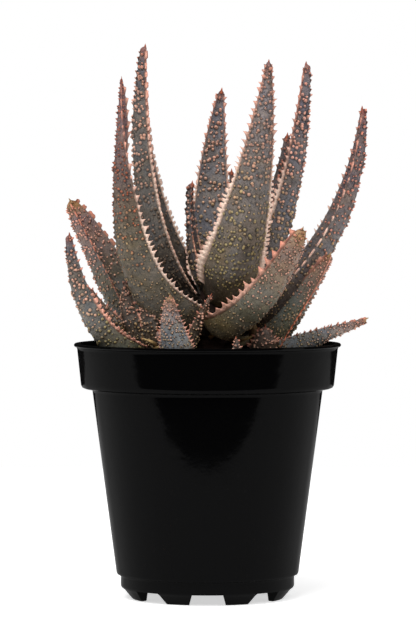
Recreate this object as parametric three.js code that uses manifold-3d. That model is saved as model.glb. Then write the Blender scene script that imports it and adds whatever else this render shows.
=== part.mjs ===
// A potted purple haze aloe: a tall rosette of thick, toothed, warty leaves with three offsets
// at its foot, in a thin round nursery pot filled with soil.
// Millimetres, +Z up, with the front facing -Y.

import * as THREE from 'three';
import { mergeVertices } from 'three/addons/utils/BufferGeometryUtils.js';
import Module from 'manifold-3d';

const wasm = await Module();
wasm.setup();

// Pot, driving dimensions
const POT_HEIGHT = 105;
const LIP_RADIUS = 55;
const LIP_THICKNESS = 1.2;
const BAND_TOP_RADIUS = 53.8;
const BAND_FOOT_RADIUS = 52.1;
const BAND_FOOT_HEIGHT = 88;
const BODY_TOP_RADIUS = 47.5;
const BODY_TOP_HEIGHT = 86;
const BODY_FOOT_RADIUS = 37.5;
const BODY_FOOT_HEIGHT = 10;
const STEP_RADIUS = 35.8;
const FOOT_RADIUS = 31.8;
const FOOT_CHAMFER_HEIGHT = 5;
const FOOT_RING_WIDTH = 3;
const WALL = 1.3;
const FLOOR_UNDERSIDE = 4.8;
const FLOOR_THICKNESS = 1.4;
const FLOOR_FILLET = 2;
const POT_SEGMENTS = 36;
const FOOT_BEVEL = 0.8;
const SHOULDER_BEVEL = 1.2;
const LIP_BEVEL = 0.4;
const SLOPE_RISE = 0.6;
const NOTCH_COUNT = 8;
const NOTCH_HALF_WIDTH_TOP = 6.3;
const NOTCH_HALF_WIDTH_FOOT = 7.3;
const NOTCH_HEIGHT = 4.5;
const NOTCH_DEPTH = 14;
const DRAIN_COUNT = 4;
const DRAIN_RADIUS = 4;
const DRAIN_CIRCLE = 19;
const DRAIN_SEGMENTS = 10;

// How far a cutting shape passes beyond the surface that it opens
const CUT_EXTRA = 2;

// Soil, driving dimensions
const SOIL_TOP = 96;
const SOIL_BUMP = 1.6;
const SOIL_MOUND = 3;
const SOIL_RINGS = 4;
const SOIL_SEGMENTS = 18;
const SOIL_CLEARANCE = 1.2;
const SOIL_EDGE_DROP = 1;

// Clearance that neighbours keep where they touch
const GAP = 0.32;

// Edges that cutting leaves shorter than this are closed up
const SHORTEST_EDGE = 0.06;

// Stems: foot on the axis, radius, and the height of the rounded top
const STEM_DEPTH = 84;
const STEM_SEGMENTS = 10;
const STEM_ROUNDING = 0.7;
const STEM_SHOULDER = 0.2;
const STEMS = {
  stem_main: { x: 4, y: 0, radius: 7.5, top: 131 },
  stem_left: { x: -24, y: -10, radius: 5, top: 108 },
  stem_front: { x: -10, y: -21, radius: 3.6, top: 105 },
  stem_right: { x: 26, y: -3, radius: 5, top: 107 },
  stem_seedling: { x: 12, y: -33, radius: 2, top: 99.5 },
};

// Colours of the plain model
const POT_COLOUR = '#17181a';
const SOIL_COLOUR = '#2c1d15';
const STEM_COLOUR = '#4a3a2c';
const LEAF_COLOUR = '#756a62';
const YOUNG_COLOUR = '#5f6258';

// Leaf section: how deep the channel and how sharp the keel are, for a half width of one
const CHANNEL = 0.3;
const KEEL_POWER = 0.68;
const CLASP_WIDTH = 0.62;
const CLASP_LENGTH = 0.16;
const THICKNESS_POWER = 0.9;
const SIDE_GROWTH = 1.6;
const TIP_GROWTH = 2;
const LEAST_STEPS = 5;

// Where the corners of the section lie, as shares of the half width
const INNER_CORNER = 0.5;
const FLANK_CORNER = 0.72;
const KEEL_CORNER = 0.27;

// Teeth on the margins and tubercles on the faces, raised from the leaf's own surface
const TOOTH_HEIGHT = 2.1;
const TOOTH_FOOT = 2.3;
const TOOTH_DEPTH = 1.3;
const TOOTH_LEAN = 0.35;
const TOOTH_RISE = 0.12;
const TOOTH_SHARE = 0.36;
const TOOTH_FULL_SIZE_AT = 4.5;
const WART_HEIGHT = 0.95;
const WART_RADIUS = 1.35;
const WART_SHARE = 0.62;
const WART_FULL_SIZE_AT = 4;
const WART_NARROWEST = 1.3;
const LEAST_GROWTH = 0.5;
const GROWTH_CLEARANCE = 2.3;
const STEM_CLEARANCE = 2;
const RIM_CLEARANCE = 4;
const RIM_CLEARANCE_ABOVE = 1.5;
const TIP_MARGIN = 0.05;

// One seeded draw for every irregular thing, so that each build is the same
let seed = 20317;
function random() {
  seed = (seed * 1103515245 + 12345) % 2147483648;
  return seed / 2147483648;
}
function jitter(amount) {
  return (random() - 0.5) * 2 * amount;
}

// Closed solids and back again

function solidFrom(geometry) {
  const bare = geometry.clone();
  bare.deleteAttribute('normal');
  bare.deleteAttribute('uv');
  const merged = mergeVertices(bare, 1e-5);
  return new wasm.Manifold(new wasm.Mesh({
    numProp: 3,
    vertProperties: Float32Array.from(merged.attributes.position.array),
    triVerts: Uint32Array.from(merged.index.array),
  }));
}

// The normal of a triangle, as long as twice its area
function spread(points, face) {
  const [a, b, c] = face.map((i) => points[i]);
  return new THREE.Vector3().crossVectors(b.clone().sub(a), c.clone().sub(a));
}

// The smallest height of a triangle
function slimness(points, face) {
  const sides = face.map((i, k) => points[i].distanceTo(points[face[(k + 1) % 3]]));
  return spread(points, face).length() / Math.max(...sides);
}

// True where a face keeps its side and isn't squashed by a change
function keepsSide(before, after) {
  return before.dot(after) > 0.2 * before.length() * after.length() && after.length() > 1e-4;
}

// Cutting leaves some edges that are too short for a faceted solid. Their two ends are drawn
// together, and a triangle that is nearly a line is turned with its neighbour.
function withoutSlivers(points, faces) {
  const around = points.map(() => new Set());
  faces.forEach((face, i) => face.forEach((vertex) => around[vertex].add(i)));
  const ring = (vertex) => new Set([...around[vertex]].flatMap((i) => faces[i]));
  const collapse = (a, b) => {
    const shared = [...around[a]].filter((i) => around[b].has(i));
    const common = [...ring(a)].filter((vertex) => vertex !== a && vertex !== b && ring(b).has(vertex));
    if (shared.length !== 2 || common.length !== 2) {
      return;
    }
    const touched = [...around[a], ...around[b]].filter((i) => !shared.includes(i));
    const middle = points[a].clone().lerp(points[b], 0.5);
    const kept = [points[a], points[b]];
    const before = touched.map((i) => spread(points, faces[i]));
    [points[a], points[b]] = [middle, middle];
    if (!touched.every((i, k) => keepsSide(before[k], spread(points, faces[i])))) {
      [points[a], points[b]] = kept;
      return;
    }
    shared.forEach((i) => {
      faces[i].forEach((vertex) => around[vertex].delete(i));
      faces[i] = null;
    });
    for (const i of around[b]) {
      faces[i] = faces[i].map((vertex) => (vertex === b ? a : vertex));
      around[a].add(i);
    }
    around[b].clear();
  };
  const turn = (i, k) => {
    const [a, b, c] = [faces[i][k], faces[i][(k + 1) % 3], faces[i][(k + 2) % 3]];
    const other = [...around[a]].find((j) => j !== i && around[b].has(j));
    const d = faces[other].find((vertex) => vertex !== a && vertex !== b);
    const pair = [[a, d, c], [d, b, c]];
    const before = spread(points, faces[i]).add(spread(points, faces[other]));
    const worst = Math.min(slimness(points, faces[i]), slimness(points, faces[other]));
    const fair = pair.every((face) => (
      keepsSide(before, spread(points, face)) && slimness(points, face) > worst
    ));
    if (fair && ![...around[c]].some((j) => around[d].has(j))) {
      around[b].delete(i);
      around[a].delete(other);
      [faces[i], faces[other]] = pair;
      around[d].add(i);
      around[c].add(other);
    }
  };
  for (let pass = 0; pass < 3; pass += 1) {
    faces.forEach((face, i) => {
      for (let k = 0; k < 3 && faces[i]; k += 1) {
        const [a, b] = [faces[i][k], faces[i][(k + 1) % 3]];
        if (points[a].distanceTo(points[b]) < SHORTEST_EDGE) {
          collapse(a, b);
        }
      }
    });
    faces.forEach((face, i) => {
      if (faces[i] && slimness(points, faces[i]) < SHORTEST_EDGE / 2) {
        const sides = faces[i].map((a, k) => points[a].distanceTo(points[faces[i][(k + 1) % 3]]));
        turn(i, sides.indexOf(Math.max(...sides)));
      }
    });
  }
  return faces.filter((face) => face);
}

function geometryFrom(solid) {
  const mesh = solid.getMesh();
  const points = [];
  for (let i = 0; i < mesh.vertProperties.length; i += 3) {
    points.push(new THREE.Vector3(...mesh.vertProperties.slice(i, i + 3)));
  }
  const faces = [];
  for (let i = 0; i < mesh.triVerts.length; i += 3) {
    faces.push([...mesh.triVerts.slice(i, i + 3)]);
  }
  // The widest faces come first, so that no narrow one leads the list
  const kept = withoutSlivers(points, faces);
  kept.sort((a, b) => spread(points, b).length() - spread(points, a).length());
  const geometry = mergeVertices(indexed(points, kept), 1e-4);
  geometry.computeVertexNormals();
  return geometry;
}

function indexed(points, faces) {
  const geometry = new THREE.BufferGeometry();
  const flat = points.flatMap((p) => p.toArray());
  geometry.setAttribute('position', new THREE.Float32BufferAttribute(flat, 3));
  geometry.setIndex(faces.flat());
  return geometry;
}

function largestBody(solid) {
  const bodies = solid.decompose();
  return bodies.reduce((best, body) => (body.volume() > best.volume() ? body : best));
}

// A loft through rings of points, with its first and last ring closed
function loft(rings, tip) {
  const count = rings[0].length;
  const points = rings.flat();
  const faces = [];
  for (let i = 0; i + 1 < rings.length; i += 1) {
    for (let k = 0; k < count; k += 1) {
      const next = (k + 1) % count;
      const a = i * count + k;
      const b = i * count + next;
      const c = (i + 1) * count + next;
      const d = (i + 1) * count + k;
      faces.push([a, b, c], [a, c, d]);
    }
  }
  for (let k = 1; k + 1 < count; k += 1) {
    faces.push([0, k + 1, k]);
  }
  const last = (rings.length - 1) * count;
  if (tip) {
    points.push(tip);
    for (let k = 0; k < count; k += 1) {
      faces.push([last + k, last + ((k + 1) % count), points.length - 1]);
    }
  } else {
    for (let k = 1; k + 1 < count; k += 1) {
      faces.push([last, last + k, last + k + 1]);
    }
  }
  return indexed(points, faces);
}

// A triangle with a tubercle raised from its middle
function wart(points, face, height) {
  const [a, b, c] = face.map((i) => points[i]);
  const middle = new THREE.Vector3().add(a).add(b).add(c).divideScalar(3);
  const normal = new THREE.Vector3().crossVectors(b.clone().sub(a), c.clone().sub(a)).normalize();
  const first = points.length;
  for (const corner of [a, b, c]) {
    const reach = corner.clone().sub(middle).multiplyScalar(WART_SHARE);
    points.push(middle.clone().add(reach.clampLength(0, WART_RADIUS)));
  }
  points.push(middle.addScaledVector(normal, height));
  const faces = [];
  for (let k = 0; k < 3; k += 1) {
    const next = (k + 1) % 3;
    faces.push([face[k], face[next], first + next], [face[k], first + next, first + k]);
    faces.push([first + k, first + next, first + 3]);
  }
  return faces;
}

// A tooth on the margin from a to b, between the inner face's corner x and the back's corner y.
// Its foot reaches from the margin down the back.
function tooth(points, a, b, x, y, peak) {
  const edge = points[b].clone().sub(points[a]);
  const middle = points[a].clone().addScaledVector(edge, 0.5);
  const reach = edge.clone().setLength(Math.min(TOOTH_FOOT / 2, edge.length() * TOOTH_SHARE));
  const down = points[y].clone().sub(middle);
  down.clampLength(0, Math.min(TOOTH_DEPTH, down.length() * 0.5));
  const first = points.length;
  points.push(middle.clone().sub(reach), middle.clone().add(reach), middle.clone().add(down), peak);
  const [p, q, t, tip] = [first, first + 1, first + 2, first + 3];
  return [
    [x, b, q], [x, q, p], [x, p, a],
    [y, a, p], [y, p, t], [y, t, q], [y, q, b],
    [p, q, tip], [t, p, tip], [q, t, tip],
  ];
}

// Pot

function potSolid() {
  const innerBand = BAND_FOOT_HEIGHT - WALL;
  const floorTop = FLOOR_UNDERSIDE + FLOOR_THICKNESS;
  const profile = [
    [0, FLOOR_UNDERSIDE],
    [FOOT_RADIUS - FOOT_RING_WIDTH, FLOOR_UNDERSIDE],
    [FOOT_RADIUS - FOOT_RING_WIDTH, 0],
    [FOOT_RADIUS, 0],
    [STEP_RADIUS - FOOT_BEVEL, FOOT_CHAMFER_HEIGHT - FOOT_BEVEL],
    [STEP_RADIUS, FOOT_CHAMFER_HEIGHT],
    [STEP_RADIUS, BODY_FOOT_HEIGHT - FOOT_BEVEL],
    [BODY_FOOT_RADIUS, BODY_FOOT_HEIGHT],
    [BODY_TOP_RADIUS, BODY_TOP_HEIGHT],
    [BAND_FOOT_RADIUS - SHOULDER_BEVEL, BODY_TOP_HEIGHT + SLOPE_RISE],
    [BAND_FOOT_RADIUS, BAND_FOOT_HEIGHT],
    [BAND_TOP_RADIUS, POT_HEIGHT - LIP_THICKNESS - SLOPE_RISE],
    [LIP_RADIUS, POT_HEIGHT - LIP_THICKNESS],
    [LIP_RADIUS, POT_HEIGHT - LIP_BEVEL],
    [LIP_RADIUS - LIP_BEVEL, POT_HEIGHT],
    [BAND_TOP_RADIUS - WALL, POT_HEIGHT],
    [BAND_FOOT_RADIUS - WALL, BAND_FOOT_HEIGHT + SLOPE_RISE],
    [BODY_TOP_RADIUS - WALL, innerBand],
    [BODY_FOOT_RADIUS - WALL - FOOT_BEVEL, floorTop + FLOOR_FILLET],
    [STEP_RADIUS - WALL - FLOOR_FILLET, floorTop],
    [0, floorTop],
  ].map(([x, y]) => new THREE.Vector2(x, y));
  const shell = new THREE.LatheGeometry(profile, POT_SEGMENTS);
  shell.rotateX(Math.PI / 2);
  let solid = solidFrom(shell);
  for (let i = 0; i < NOTCH_COUNT; i += 1) {
    const outline = new THREE.Shape([
      new THREE.Vector2(-NOTCH_HALF_WIDTH_FOOT, -CUT_EXTRA),
      new THREE.Vector2(NOTCH_HALF_WIDTH_FOOT, -CUT_EXTRA),
      new THREE.Vector2(NOTCH_HALF_WIDTH_TOP, NOTCH_HEIGHT),
      new THREE.Vector2(-NOTCH_HALF_WIDTH_TOP, NOTCH_HEIGHT),
    ]);
    const notch = new THREE.ExtrudeGeometry(outline, { depth: NOTCH_DEPTH, bevelEnabled: false, steps: 1 });
    notch.rotateX(Math.PI / 2);
    notch.translate(0, STEP_RADIUS + CUT_EXTRA, 0);
    notch.rotateZ(Math.PI + (i * 2 * Math.PI) / NOTCH_COUNT);
    solid = solid.subtract(solidFrom(notch));
  }
  for (let i = 0; i < DRAIN_COUNT; i += 1) {
    const angle = ((i + 0.5) * 2 * Math.PI) / DRAIN_COUNT;
    const length = (FLOOR_THICKNESS + CUT_EXTRA) * 2;
    const drill = new THREE.CylinderGeometry(DRAIN_RADIUS, DRAIN_RADIUS, length, DRAIN_SEGMENTS);
    drill.rotateX(Math.PI / 2);
    drill.translate(DRAIN_CIRCLE * Math.cos(angle), DRAIN_CIRCLE * Math.sin(angle), FLOOR_UNDERSIDE);
    solid = solid.subtract(solidFrom(drill));
  }
  return solid;
}

// Soil

function soilSolid() {
  const floor = FLOOR_UNDERSIDE + FLOOR_THICKNESS + GAP;
  const wallAt = (z) => {
    const t = (z - BODY_FOOT_HEIGHT) / (BODY_TOP_HEIGHT - BODY_FOOT_HEIGHT);
    return BODY_FOOT_RADIUS + t * (BODY_TOP_RADIUS - BODY_FOOT_RADIUS) - WALL - SOIL_CLEARANCE;
  };
  const ring = (radius, height) => {
    const points = [];
    for (let k = 0; k < SOIL_SEGMENTS; k += 1) {
      const angle = (k * 2 * Math.PI) / SOIL_SEGMENTS;
      points.push(new THREE.Vector3(radius * Math.cos(angle), radius * Math.sin(angle), height(angle)));
    }
    return points;
  };
  const neck = BAND_FOOT_RADIUS - WALL - SOIL_CLEARANCE;
  const step = floor + FLOOR_FILLET * 2;
  const rings = [
    ring(STEP_RADIUS - WALL - FLOOR_FILLET - SOIL_CLEARANCE, () => floor),
    ring(wallAt(step), () => step),
    ring(BODY_TOP_RADIUS - WALL - SOIL_CLEARANCE, () => BAND_FOOT_HEIGHT - WALL + SLOPE_RISE),
    ring(neck, () => BAND_FOOT_HEIGHT + SLOPE_RISE + SOIL_EDGE_DROP),
    ring(neck + LIP_BEVEL, () => SOIL_TOP - SOIL_EDGE_DROP * 2 + jitter(SOIL_BUMP / 2)),
  ];
  for (let i = 1; i < SOIL_RINGS; i += 1) {
    const share = 1 - i / SOIL_RINGS;
    const lift = SOIL_MOUND * (1 - share * share);
    rings.push(ring(neck * share, () => SOIL_TOP - SOIL_EDGE_DROP + lift + jitter(SOIL_BUMP)));
  }
  const top = new THREE.Vector3(0, 0, SOIL_TOP - SOIL_EDGE_DROP + SOIL_MOUND);
  return solidFrom(loft(rings, top));
}

// Stems

function stemSolid(stem, grow) {
  const profile = [
    [0, STEM_DEPTH - grow],
    [stem.radius * STEM_ROUNDING + grow, STEM_DEPTH - grow],
    [stem.radius + grow, STEM_DEPTH + stem.radius * STEM_ROUNDING],
    [stem.radius + grow, stem.top - stem.radius * STEM_ROUNDING],
    [stem.radius * STEM_ROUNDING + grow, stem.top - stem.radius * STEM_SHOULDER],
    [0, stem.top + grow],
  ].map(([x, y]) => new THREE.Vector2(x, y));
  const shape = new THREE.LatheGeometry(profile, STEM_SEGMENTS);
  shape.rotateX(Math.PI / 2);
  shape.translate(stem.x, stem.y, 0);
  return solidFrom(shape);
}

// Leaves. A leaf follows a curve from its root on the stem, through two handles, to its tip.
// Its channelled inner face looks back over the stem, away from the bearing that it faces.

class Leaf {
  constructor(name, root, out, bow, tip, options) {
    this.name = name;
    this.curve = new THREE.CubicBezierCurve3(...[root, out, bow, tip].map((p) => new THREE.Vector3(...p)));
    this.curve.arcLengthDivisions = 120;
    this.length = this.curve.getLength();
    this.bearing = THREE.MathUtils.degToRad(options.facing);
    this.twist = THREE.MathUtils.degToRad(options.twist ?? 0);
    this.width = options.width;
    this.thick = options.thick ?? options.width * 0.36;
    this.taper = options.taper ?? 0.9;
    this.step = options.step ?? 7;
    this.colour = options.colour ?? LEAF_COLOUR;
  }

  frame(u) {
    const centre = this.curve.getPointAt(u);
    const along = this.curve.getTangentAt(u);
    const across = new THREE.Vector3(-Math.sin(this.bearing), Math.cos(this.bearing), 0);
    across.addScaledVector(along, -across.dot(along)).normalize();
    across.applyAxisAngle(along, this.twist * u);
    const inward = new THREE.Vector3().crossVectors(along, across);
    return { centre, along, across, inward };
  }

  // Half width at u, and the depth of the back below the channel
  shape(u) {
    const clasp = CLASP_WIDTH + (1 - CLASP_WIDTH) * THREE.MathUtils.smoothstep(u, 0, CLASP_LENGTH);
    const share = clasp * Math.pow(Math.max(1 - u, 0), this.taper);
    return { half: (this.width / 2) * share, deep: this.thick * Math.pow(share, THICKNESS_POWER) };
  }

  // A point of the section: s runs from one margin, -1, to the other, 1
  offset(size, s, back) {
    const channel = CHANNEL * size.half * s * s;
    return back ? channel - size.deep * Math.pow(Math.max(1 - s * s, 0), KEEL_POWER) : channel;
  }

  point(u, s, back, grow = 0) {
    const { centre, across, inward } = this.frame(u);
    const size = this.shape(u);
    const height = this.offset(size, s, back) + (back ? -grow : grow);
    const side = s * (size.half + grow * SIDE_GROWTH);
    return centre.clone().addScaledVector(across, side).addScaledVector(inward, height);
  }

  // The rings of the section, grown all round by a small amount
  rings(grow) {
    const steps = Math.max(LEAST_STEPS, Math.round(this.length / this.step));
    const rings = [];
    for (let i = 0; i <= steps; i += 1) {
      const u = (i / steps) * (1 - TIP_MARGIN);
      rings.push([
        this.point(u, 1, false, grow),
        this.point(u, INNER_CORNER, false, grow),
        this.point(u, -INNER_CORNER, false, grow),
        this.point(u, -1, false, grow),
        this.point(u, -FLANK_CORNER, true, grow),
        this.point(u, -KEEL_CORNER, true, grow),
        this.point(u, KEEL_CORNER, true, grow),
        this.point(u, FLANK_CORNER, true, grow),
      ]);
    }
    return rings;
  }

  // The plain body, without its teeth and tubercles
  body(grow) {
    const { along } = this.frame(1);
    const tip = this.curve.getPointAt(1).addScaledVector(along, grow * TIP_GROWTH);
    return solidFrom(loft(this.rings(grow), tip));
  }

  // The body with a tooth on each margin and a few tubercles between each two rings
  toothed(isFree) {
    const rings = this.rings(0);
    const around = rings[0].length;
    const plain = loft(rings, this.curve.getPointAt(1));
    const flat = plain.attributes.position.array;
    const points = [];
    for (let i = 0; i < flat.length; i += 3) {
      points.push(new THREE.Vector3(flat[i], flat[i + 1], flat[i + 2]));
    }
    const index = plain.index.array;
    const faces = [];
    for (let i = 0; i < index.length; i += 3) {
      faces.push([index[i], index[i + 1], index[i + 2]]);
    }
    const faceAt = (ring, k, half) => (ring * around + k) * 2 + half;
    const gone = new Set();
    const added = [];
    for (let ring = 0; ring + 1 < rings.length; ring += 1) {
      const u = ((ring + 0.5) / (rings.length - 1)) * (1 - TIP_MARGIN);
      const { along, across, inward } = this.frame(u);
      const size = this.shape(u);
      const full = THREE.MathUtils.clamp(size.half / TOOTH_FULL_SIZE_AT, LEAST_GROWTH, 1);
      const scale = full * (0.9 + random() * 0.3);
      for (const side of [1, -1]) {
        const k = side > 0 ? 0 : 3;
        const a = ring * around + k;
        const b = a + around;
        const innerFace = side > 0 ? faceAt(ring, 0, 1) : faceAt(ring, 2, 0);
        const backFace = side > 0 ? faceAt(ring, 7, 0) : faceAt(ring, 3, 1);
        const x = faces[innerFace].find((i) => i !== a && i !== b);
        const y = faces[backFace].find((i) => i !== a && i !== b);
        const direction = across.clone().multiplyScalar(side);
        direction.addScaledVector(along, TOOTH_LEAN).addScaledVector(inward, TOOTH_RISE).normalize();
        const foot = points[a].clone().lerp(points[b], 0.5);
        const peak = foot.clone().addScaledVector(direction, TOOTH_HEIGHT * scale);
        if (isFree(foot) && isFree(peak)) {
          const made = tooth(points, a, b, x, y, peak);
          added.push(...(side > 0 ? made : made.map((face) => face.toReversed())));
          gone.add(innerFace).add(backFace);
        }
      }
      const spots = ring % 2 ? [[5, 0], [3, 0], [7, 1]] : [[4, 1], [6, 0], [1, ring % 4 ? 0 : 1]];
      for (const [k, half] of spots) {
        const face = faceAt(ring, k, half);
        const middle = new THREE.Vector3();
        faces[face].forEach((i) => middle.addScaledVector(points[i], 1 / 3));
        const share = THREE.MathUtils.clamp(size.half / WART_FULL_SIZE_AT, LEAST_GROWTH, 1);
        const height = WART_HEIGHT * share * (0.9 + random() * 0.2);
        if (!gone.has(face) && size.half > WART_NARROWEST && isFree(middle)) {
          added.push(...wart(points, faces[face], height));
          gone.add(face);
        }
      }
    }
    return solidFrom(indexed(points, faces.filter((_, i) => !gone.has(i)).concat(added)));
  }

  // True where a point lies in the leaf, or within a distance of it
  near(point, distance) {
    for (let u = 0; u <= 1; u += 0.025) {
      const { centre, along, across, inward } = this.frame(u);
      const away = point.clone().sub(centre);
      if (Math.abs(away.dot(along)) < this.length * 0.02 + distance * 0.5) {
        const size = this.shape(u);
        const side = away.dot(across);
        const height = away.dot(inward);
        const s = THREE.MathUtils.clamp(side / Math.max(size.half, 0.1), -1, 1);
        const inside = Math.abs(side) < size.half + distance
          && height < this.offset(size, s, false) + distance
          && height > this.offset(size, s, true) - distance;
        if (inside) {
          return true;
        }
      }
    }
    return false;
  }
}

// Main rosette, in the order in which a leaf gives way to those above it in the list
const MAIN = [
  new Leaf('leaf_right_front_old', [4, -5, 113], [10, -25, 111], [27, -35, 124], [38.3, -34, 152.5],
    { facing: 315, width: 23, thick: 6.5, taper: 0.42, step: 5.5 }),
  new Leaf('leaf_front_left', [1, -4, 113.5], [-40.5, -24, 121], [-32.4, -34, 171], [-34.6, -30, 213],
    { facing: 221, width: 29.5, thick: 9.5, taper: 0.84, twist: -26 }),
  new Leaf('leaf_front', [6, -5.6, 124.6], [10, -21, 130], [22.8, -30, 180], [24.8, -24, 220],
    { facing: 278, width: 26.5, thick: 8, taper: 0.82 }),
  new Leaf('leaf_left_back', [0, 2, 120], [-17, 6, 136], [-30, 8, 175], [-25.7, 6, 227.4],
    { facing: 160, width: 26.5, thick: 10.5, taper: 0.73, twist: 28 }),
  new Leaf('leaf_right', [8, 0, 120], [26.2, -3, 134], [37.2, -11, 175], [40.2, -12, 219.6],
    { facing: 342, width: 17, thick: 7.5, taper: 0.62 }),
  new Leaf('leaf_right_long', [8, 2, 112], [38, 8, 124], [62.5, 14, 160], [64.1, 13, 202],
    { facing: 18, width: 25.5, thick: 9, taper: 0.64, twist: -10 }),
  new Leaf('leaf_back_centre', [3, 2, 124], [1, 14, 140], [-0.2, 17, 172], [5.9, 17, 209.7],
    { facing: 100, width: 22.5, thick: 7.5, taper: 0.73 }),
  new Leaf('leaf_centre_young', [2, 1, 126], [-6.2, 3, 138], [-7.6, 4, 155], [-6.3, 3, 171],
    { facing: 162, width: 12.6, thick: 4.4, colour: YOUNG_COLOUR }),
  new Leaf('leaf_right_back_young', [7, 3, 124], [20, 13, 132], [29, 18, 160], [33.2, 17, 191],
    { facing: 45, width: 16, thick: 6, taper: 0.8, step: 7.5, colour: YOUNG_COLOUR }),
  new Leaf('leaf_back_tip', [5, 3, 126], [8, 12, 138], [11, 13, 158], [10, 12, 176],
    { facing: 70, width: 11.4, thick: 4.2, step: 8, colour: YOUNG_COLOUR }),
  new Leaf('leaf_back', [5, 4, 118], [10, 24, 126], [20, 38, 150], [18, 36, 173],
    { facing: 72, width: 22, thick: 7, step: 9 }),
  new Leaf('leaf_back_left', [2, 4, 116], [-10, 20, 124], [-26, 32, 140], [-27, 32, 168],
    { facing: 135, width: 20, thick: 7, step: 9 }),
  new Leaf('leaf_back_right', [7, 3, 111], [26, 18, 115], [44, 32, 130], [49, 34, 149],
    { facing: 38, width: 19, thick: 6.5, step: 9 }),
  new Leaf('leaf_back_mid', [3.5, 4, 111.5], [2, 24, 118], [3, 40, 136], [4, 42, 156],
    { facing: 95, width: 20, thick: 6.5, step: 9 }),
  new Leaf('leaf_back_low_left', [1, 4, 107], [-18, 20, 110], [-38, 26, 128], [-50, 28, 148],
    { facing: 142, width: 18, thick: 6, step: 9 }),
  new Leaf('leaf_back_low_mid', [3, 5, 106], [0, 30, 106], [-6, 50, 114], [-5, 58, 127],
    { facing: 98, width: 17, thick: 6, taper: 0.6, step: 9 }),
  new Leaf('leaf_back_low_right', [7, 4, 106], [14, 26, 106], [22, 44, 113], [25, 52, 129],
    { facing: 66, width: 17, thick: 6, taper: 0.6, step: 9 }),
];

// Left offset
const LEFT = [
  new Leaf('leaf_offset_left_long', [-22.7, -10.3, 101.7], [-42.7, -14, 102], [-53.6, -18, 123],
    [-56.2, -17, 150], { facing: 207, width: 19, thick: 7, taper: 0.7 }),
  new Leaf('leaf_offset_left_old', [-22, -4, 103], [-31, 5, 117], [-42.6, 12, 142], [-57.1, 14, 163.8],
    { facing: 149, width: 24.5, thick: 10.5, taper: 0.42 }),
  new Leaf('leaf_offset_left_inner', [-24, -10, 104], [-30, -13, 108], [-34, -15, 120], [-32.5, -14, 131],
    { facing: 215, width: 15, thick: 5.5, taper: 0.75, step: 5, colour: YOUNG_COLOUR }),
  new Leaf('leaf_offset_left_near', [-22, -12, 103], [-20, -17, 106], [-22.5, -18, 116], [-28.3, -15, 127],
    { facing: 288, width: 13, thick: 5, taper: 0.7, step: 4.6, colour: YOUNG_COLOUR }),
  new Leaf('leaf_offset_left_outer', [-25, -9, 102], [-34, -7, 106], [-43, -4, 116], [-48.4, -3, 127.5],
    { facing: 228, width: 16, thick: 5.5, taper: 0.8, step: 5, colour: YOUNG_COLOUR }),
  new Leaf('leaf_offset_left_back', [-21, -7, 102.5], [-17, 2, 105], [-18, 8, 112], [-18, 9, 124],
    { facing: 82, width: 11.6, thick: 4.4, step: 6, colour: YOUNG_COLOUR }),
];

// Front offset
const FRONT = [
  new Leaf('leaf_offset_front_upright', [-11, -22, 100], [-13.5, -28, 104],
    [-15.6, -30, 115], [-15.2, -27, 125.2],
    { facing: 262, width: 14, thick: 4.2, taper: 0.55, step: 4.5, colour: YOUNG_COLOUR }),
  new Leaf('leaf_offset_front_dark', [-9, -21, 101], [-7, -23, 107], [-4, -25, 116], [1.4, -25, 125.5],
    { facing: 330, width: 7.8, thick: 3.3, taper: 0.75, step: 4.8, colour: YOUNG_COLOUR }),
  new Leaf('leaf_offset_front_left', [-12, -21, 100], [-15, -22, 102], [-18.5, -23, 105], [-20, -23, 111],
    { facing: 205, width: 8, thick: 3.2, taper: 0.7, step: 4.5, colour: YOUNG_COLOUR }),
];

// Right offset
const RIGHT = [
  new Leaf('leaf_offset_right_rising', [25, -3, 102], [25.5, -5, 108], [37.5, -4, 119], [50.6, 0, 141.7],
    { facing: 47, width: 18, thick: 5.5, taper: 0.6 }),
  new Leaf('leaf_offset_right_low', [27, -4, 103], [37, -9, 107.5], [52, -11, 111.5], [65, -13, 115.6],
    { facing: 345, width: 14, thick: 7.2, taper: 0.72, step: 5.5 }),
  new Leaf('leaf_offset_right_stub', [25, -4, 102], [23, -11, 101.5], [23, -17, 106], [23.5, -18, 112.5],
    { facing: 280, width: 15, thick: 5.5, taper: 0.5, step: 5, colour: YOUNG_COLOUR }),
  new Leaf('leaf_offset_right_back', [26, -2, 103], [29, 10, 104], [32, 19, 109], [33, 24, 119],
    { facing: 70, width: 12, thick: 4.5, taper: 0.7, step: 6, colour: YOUNG_COLOUR }),
];

// Seedling leaf at the front rim
const SEEDLING = [
  new Leaf('leaf_seedling', [12, -33, 98], [12, -35, 101], [12, -37, 104], [11.5, -37, 108.5],
    { facing: 270, width: 6, thick: 2.8, taper: 0.6, step: 3, colour: YOUNG_COLOUR }),
];

const LEAVES = [...MAIN, ...FRONT, ...RIGHT, ...LEFT, ...SEEDLING];

// The whole plant

const pieces = [];
function addPiece(name, solid, colour, roughness) {
  const material = new THREE.MeshStandardMaterial({ color: colour, roughness, metalness: 0 });
  const mesh = new THREE.Mesh(geometryFrom(solid), material);
  mesh.name = name;
  pieces.push(mesh);
}

const pot = potSolid();
addPiece('pot', pot, POT_COLOUR, 0.3);

const stemNames = Object.keys(STEMS);
const stemHoles = stemNames.map((name) => stemSolid(STEMS[name], GAP));
let soil = soilSolid();
for (const hole of stemHoles) {
  soil = soil.subtract(hole);
}
soil = largestBody(soil);
addPiece('soil', soil, SOIL_COLOUR, 0.95);
for (const name of stemNames) {
  addPiece(name, stemSolid(STEMS[name], 0), STEM_COLOUR, 0.8);
}

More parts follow.
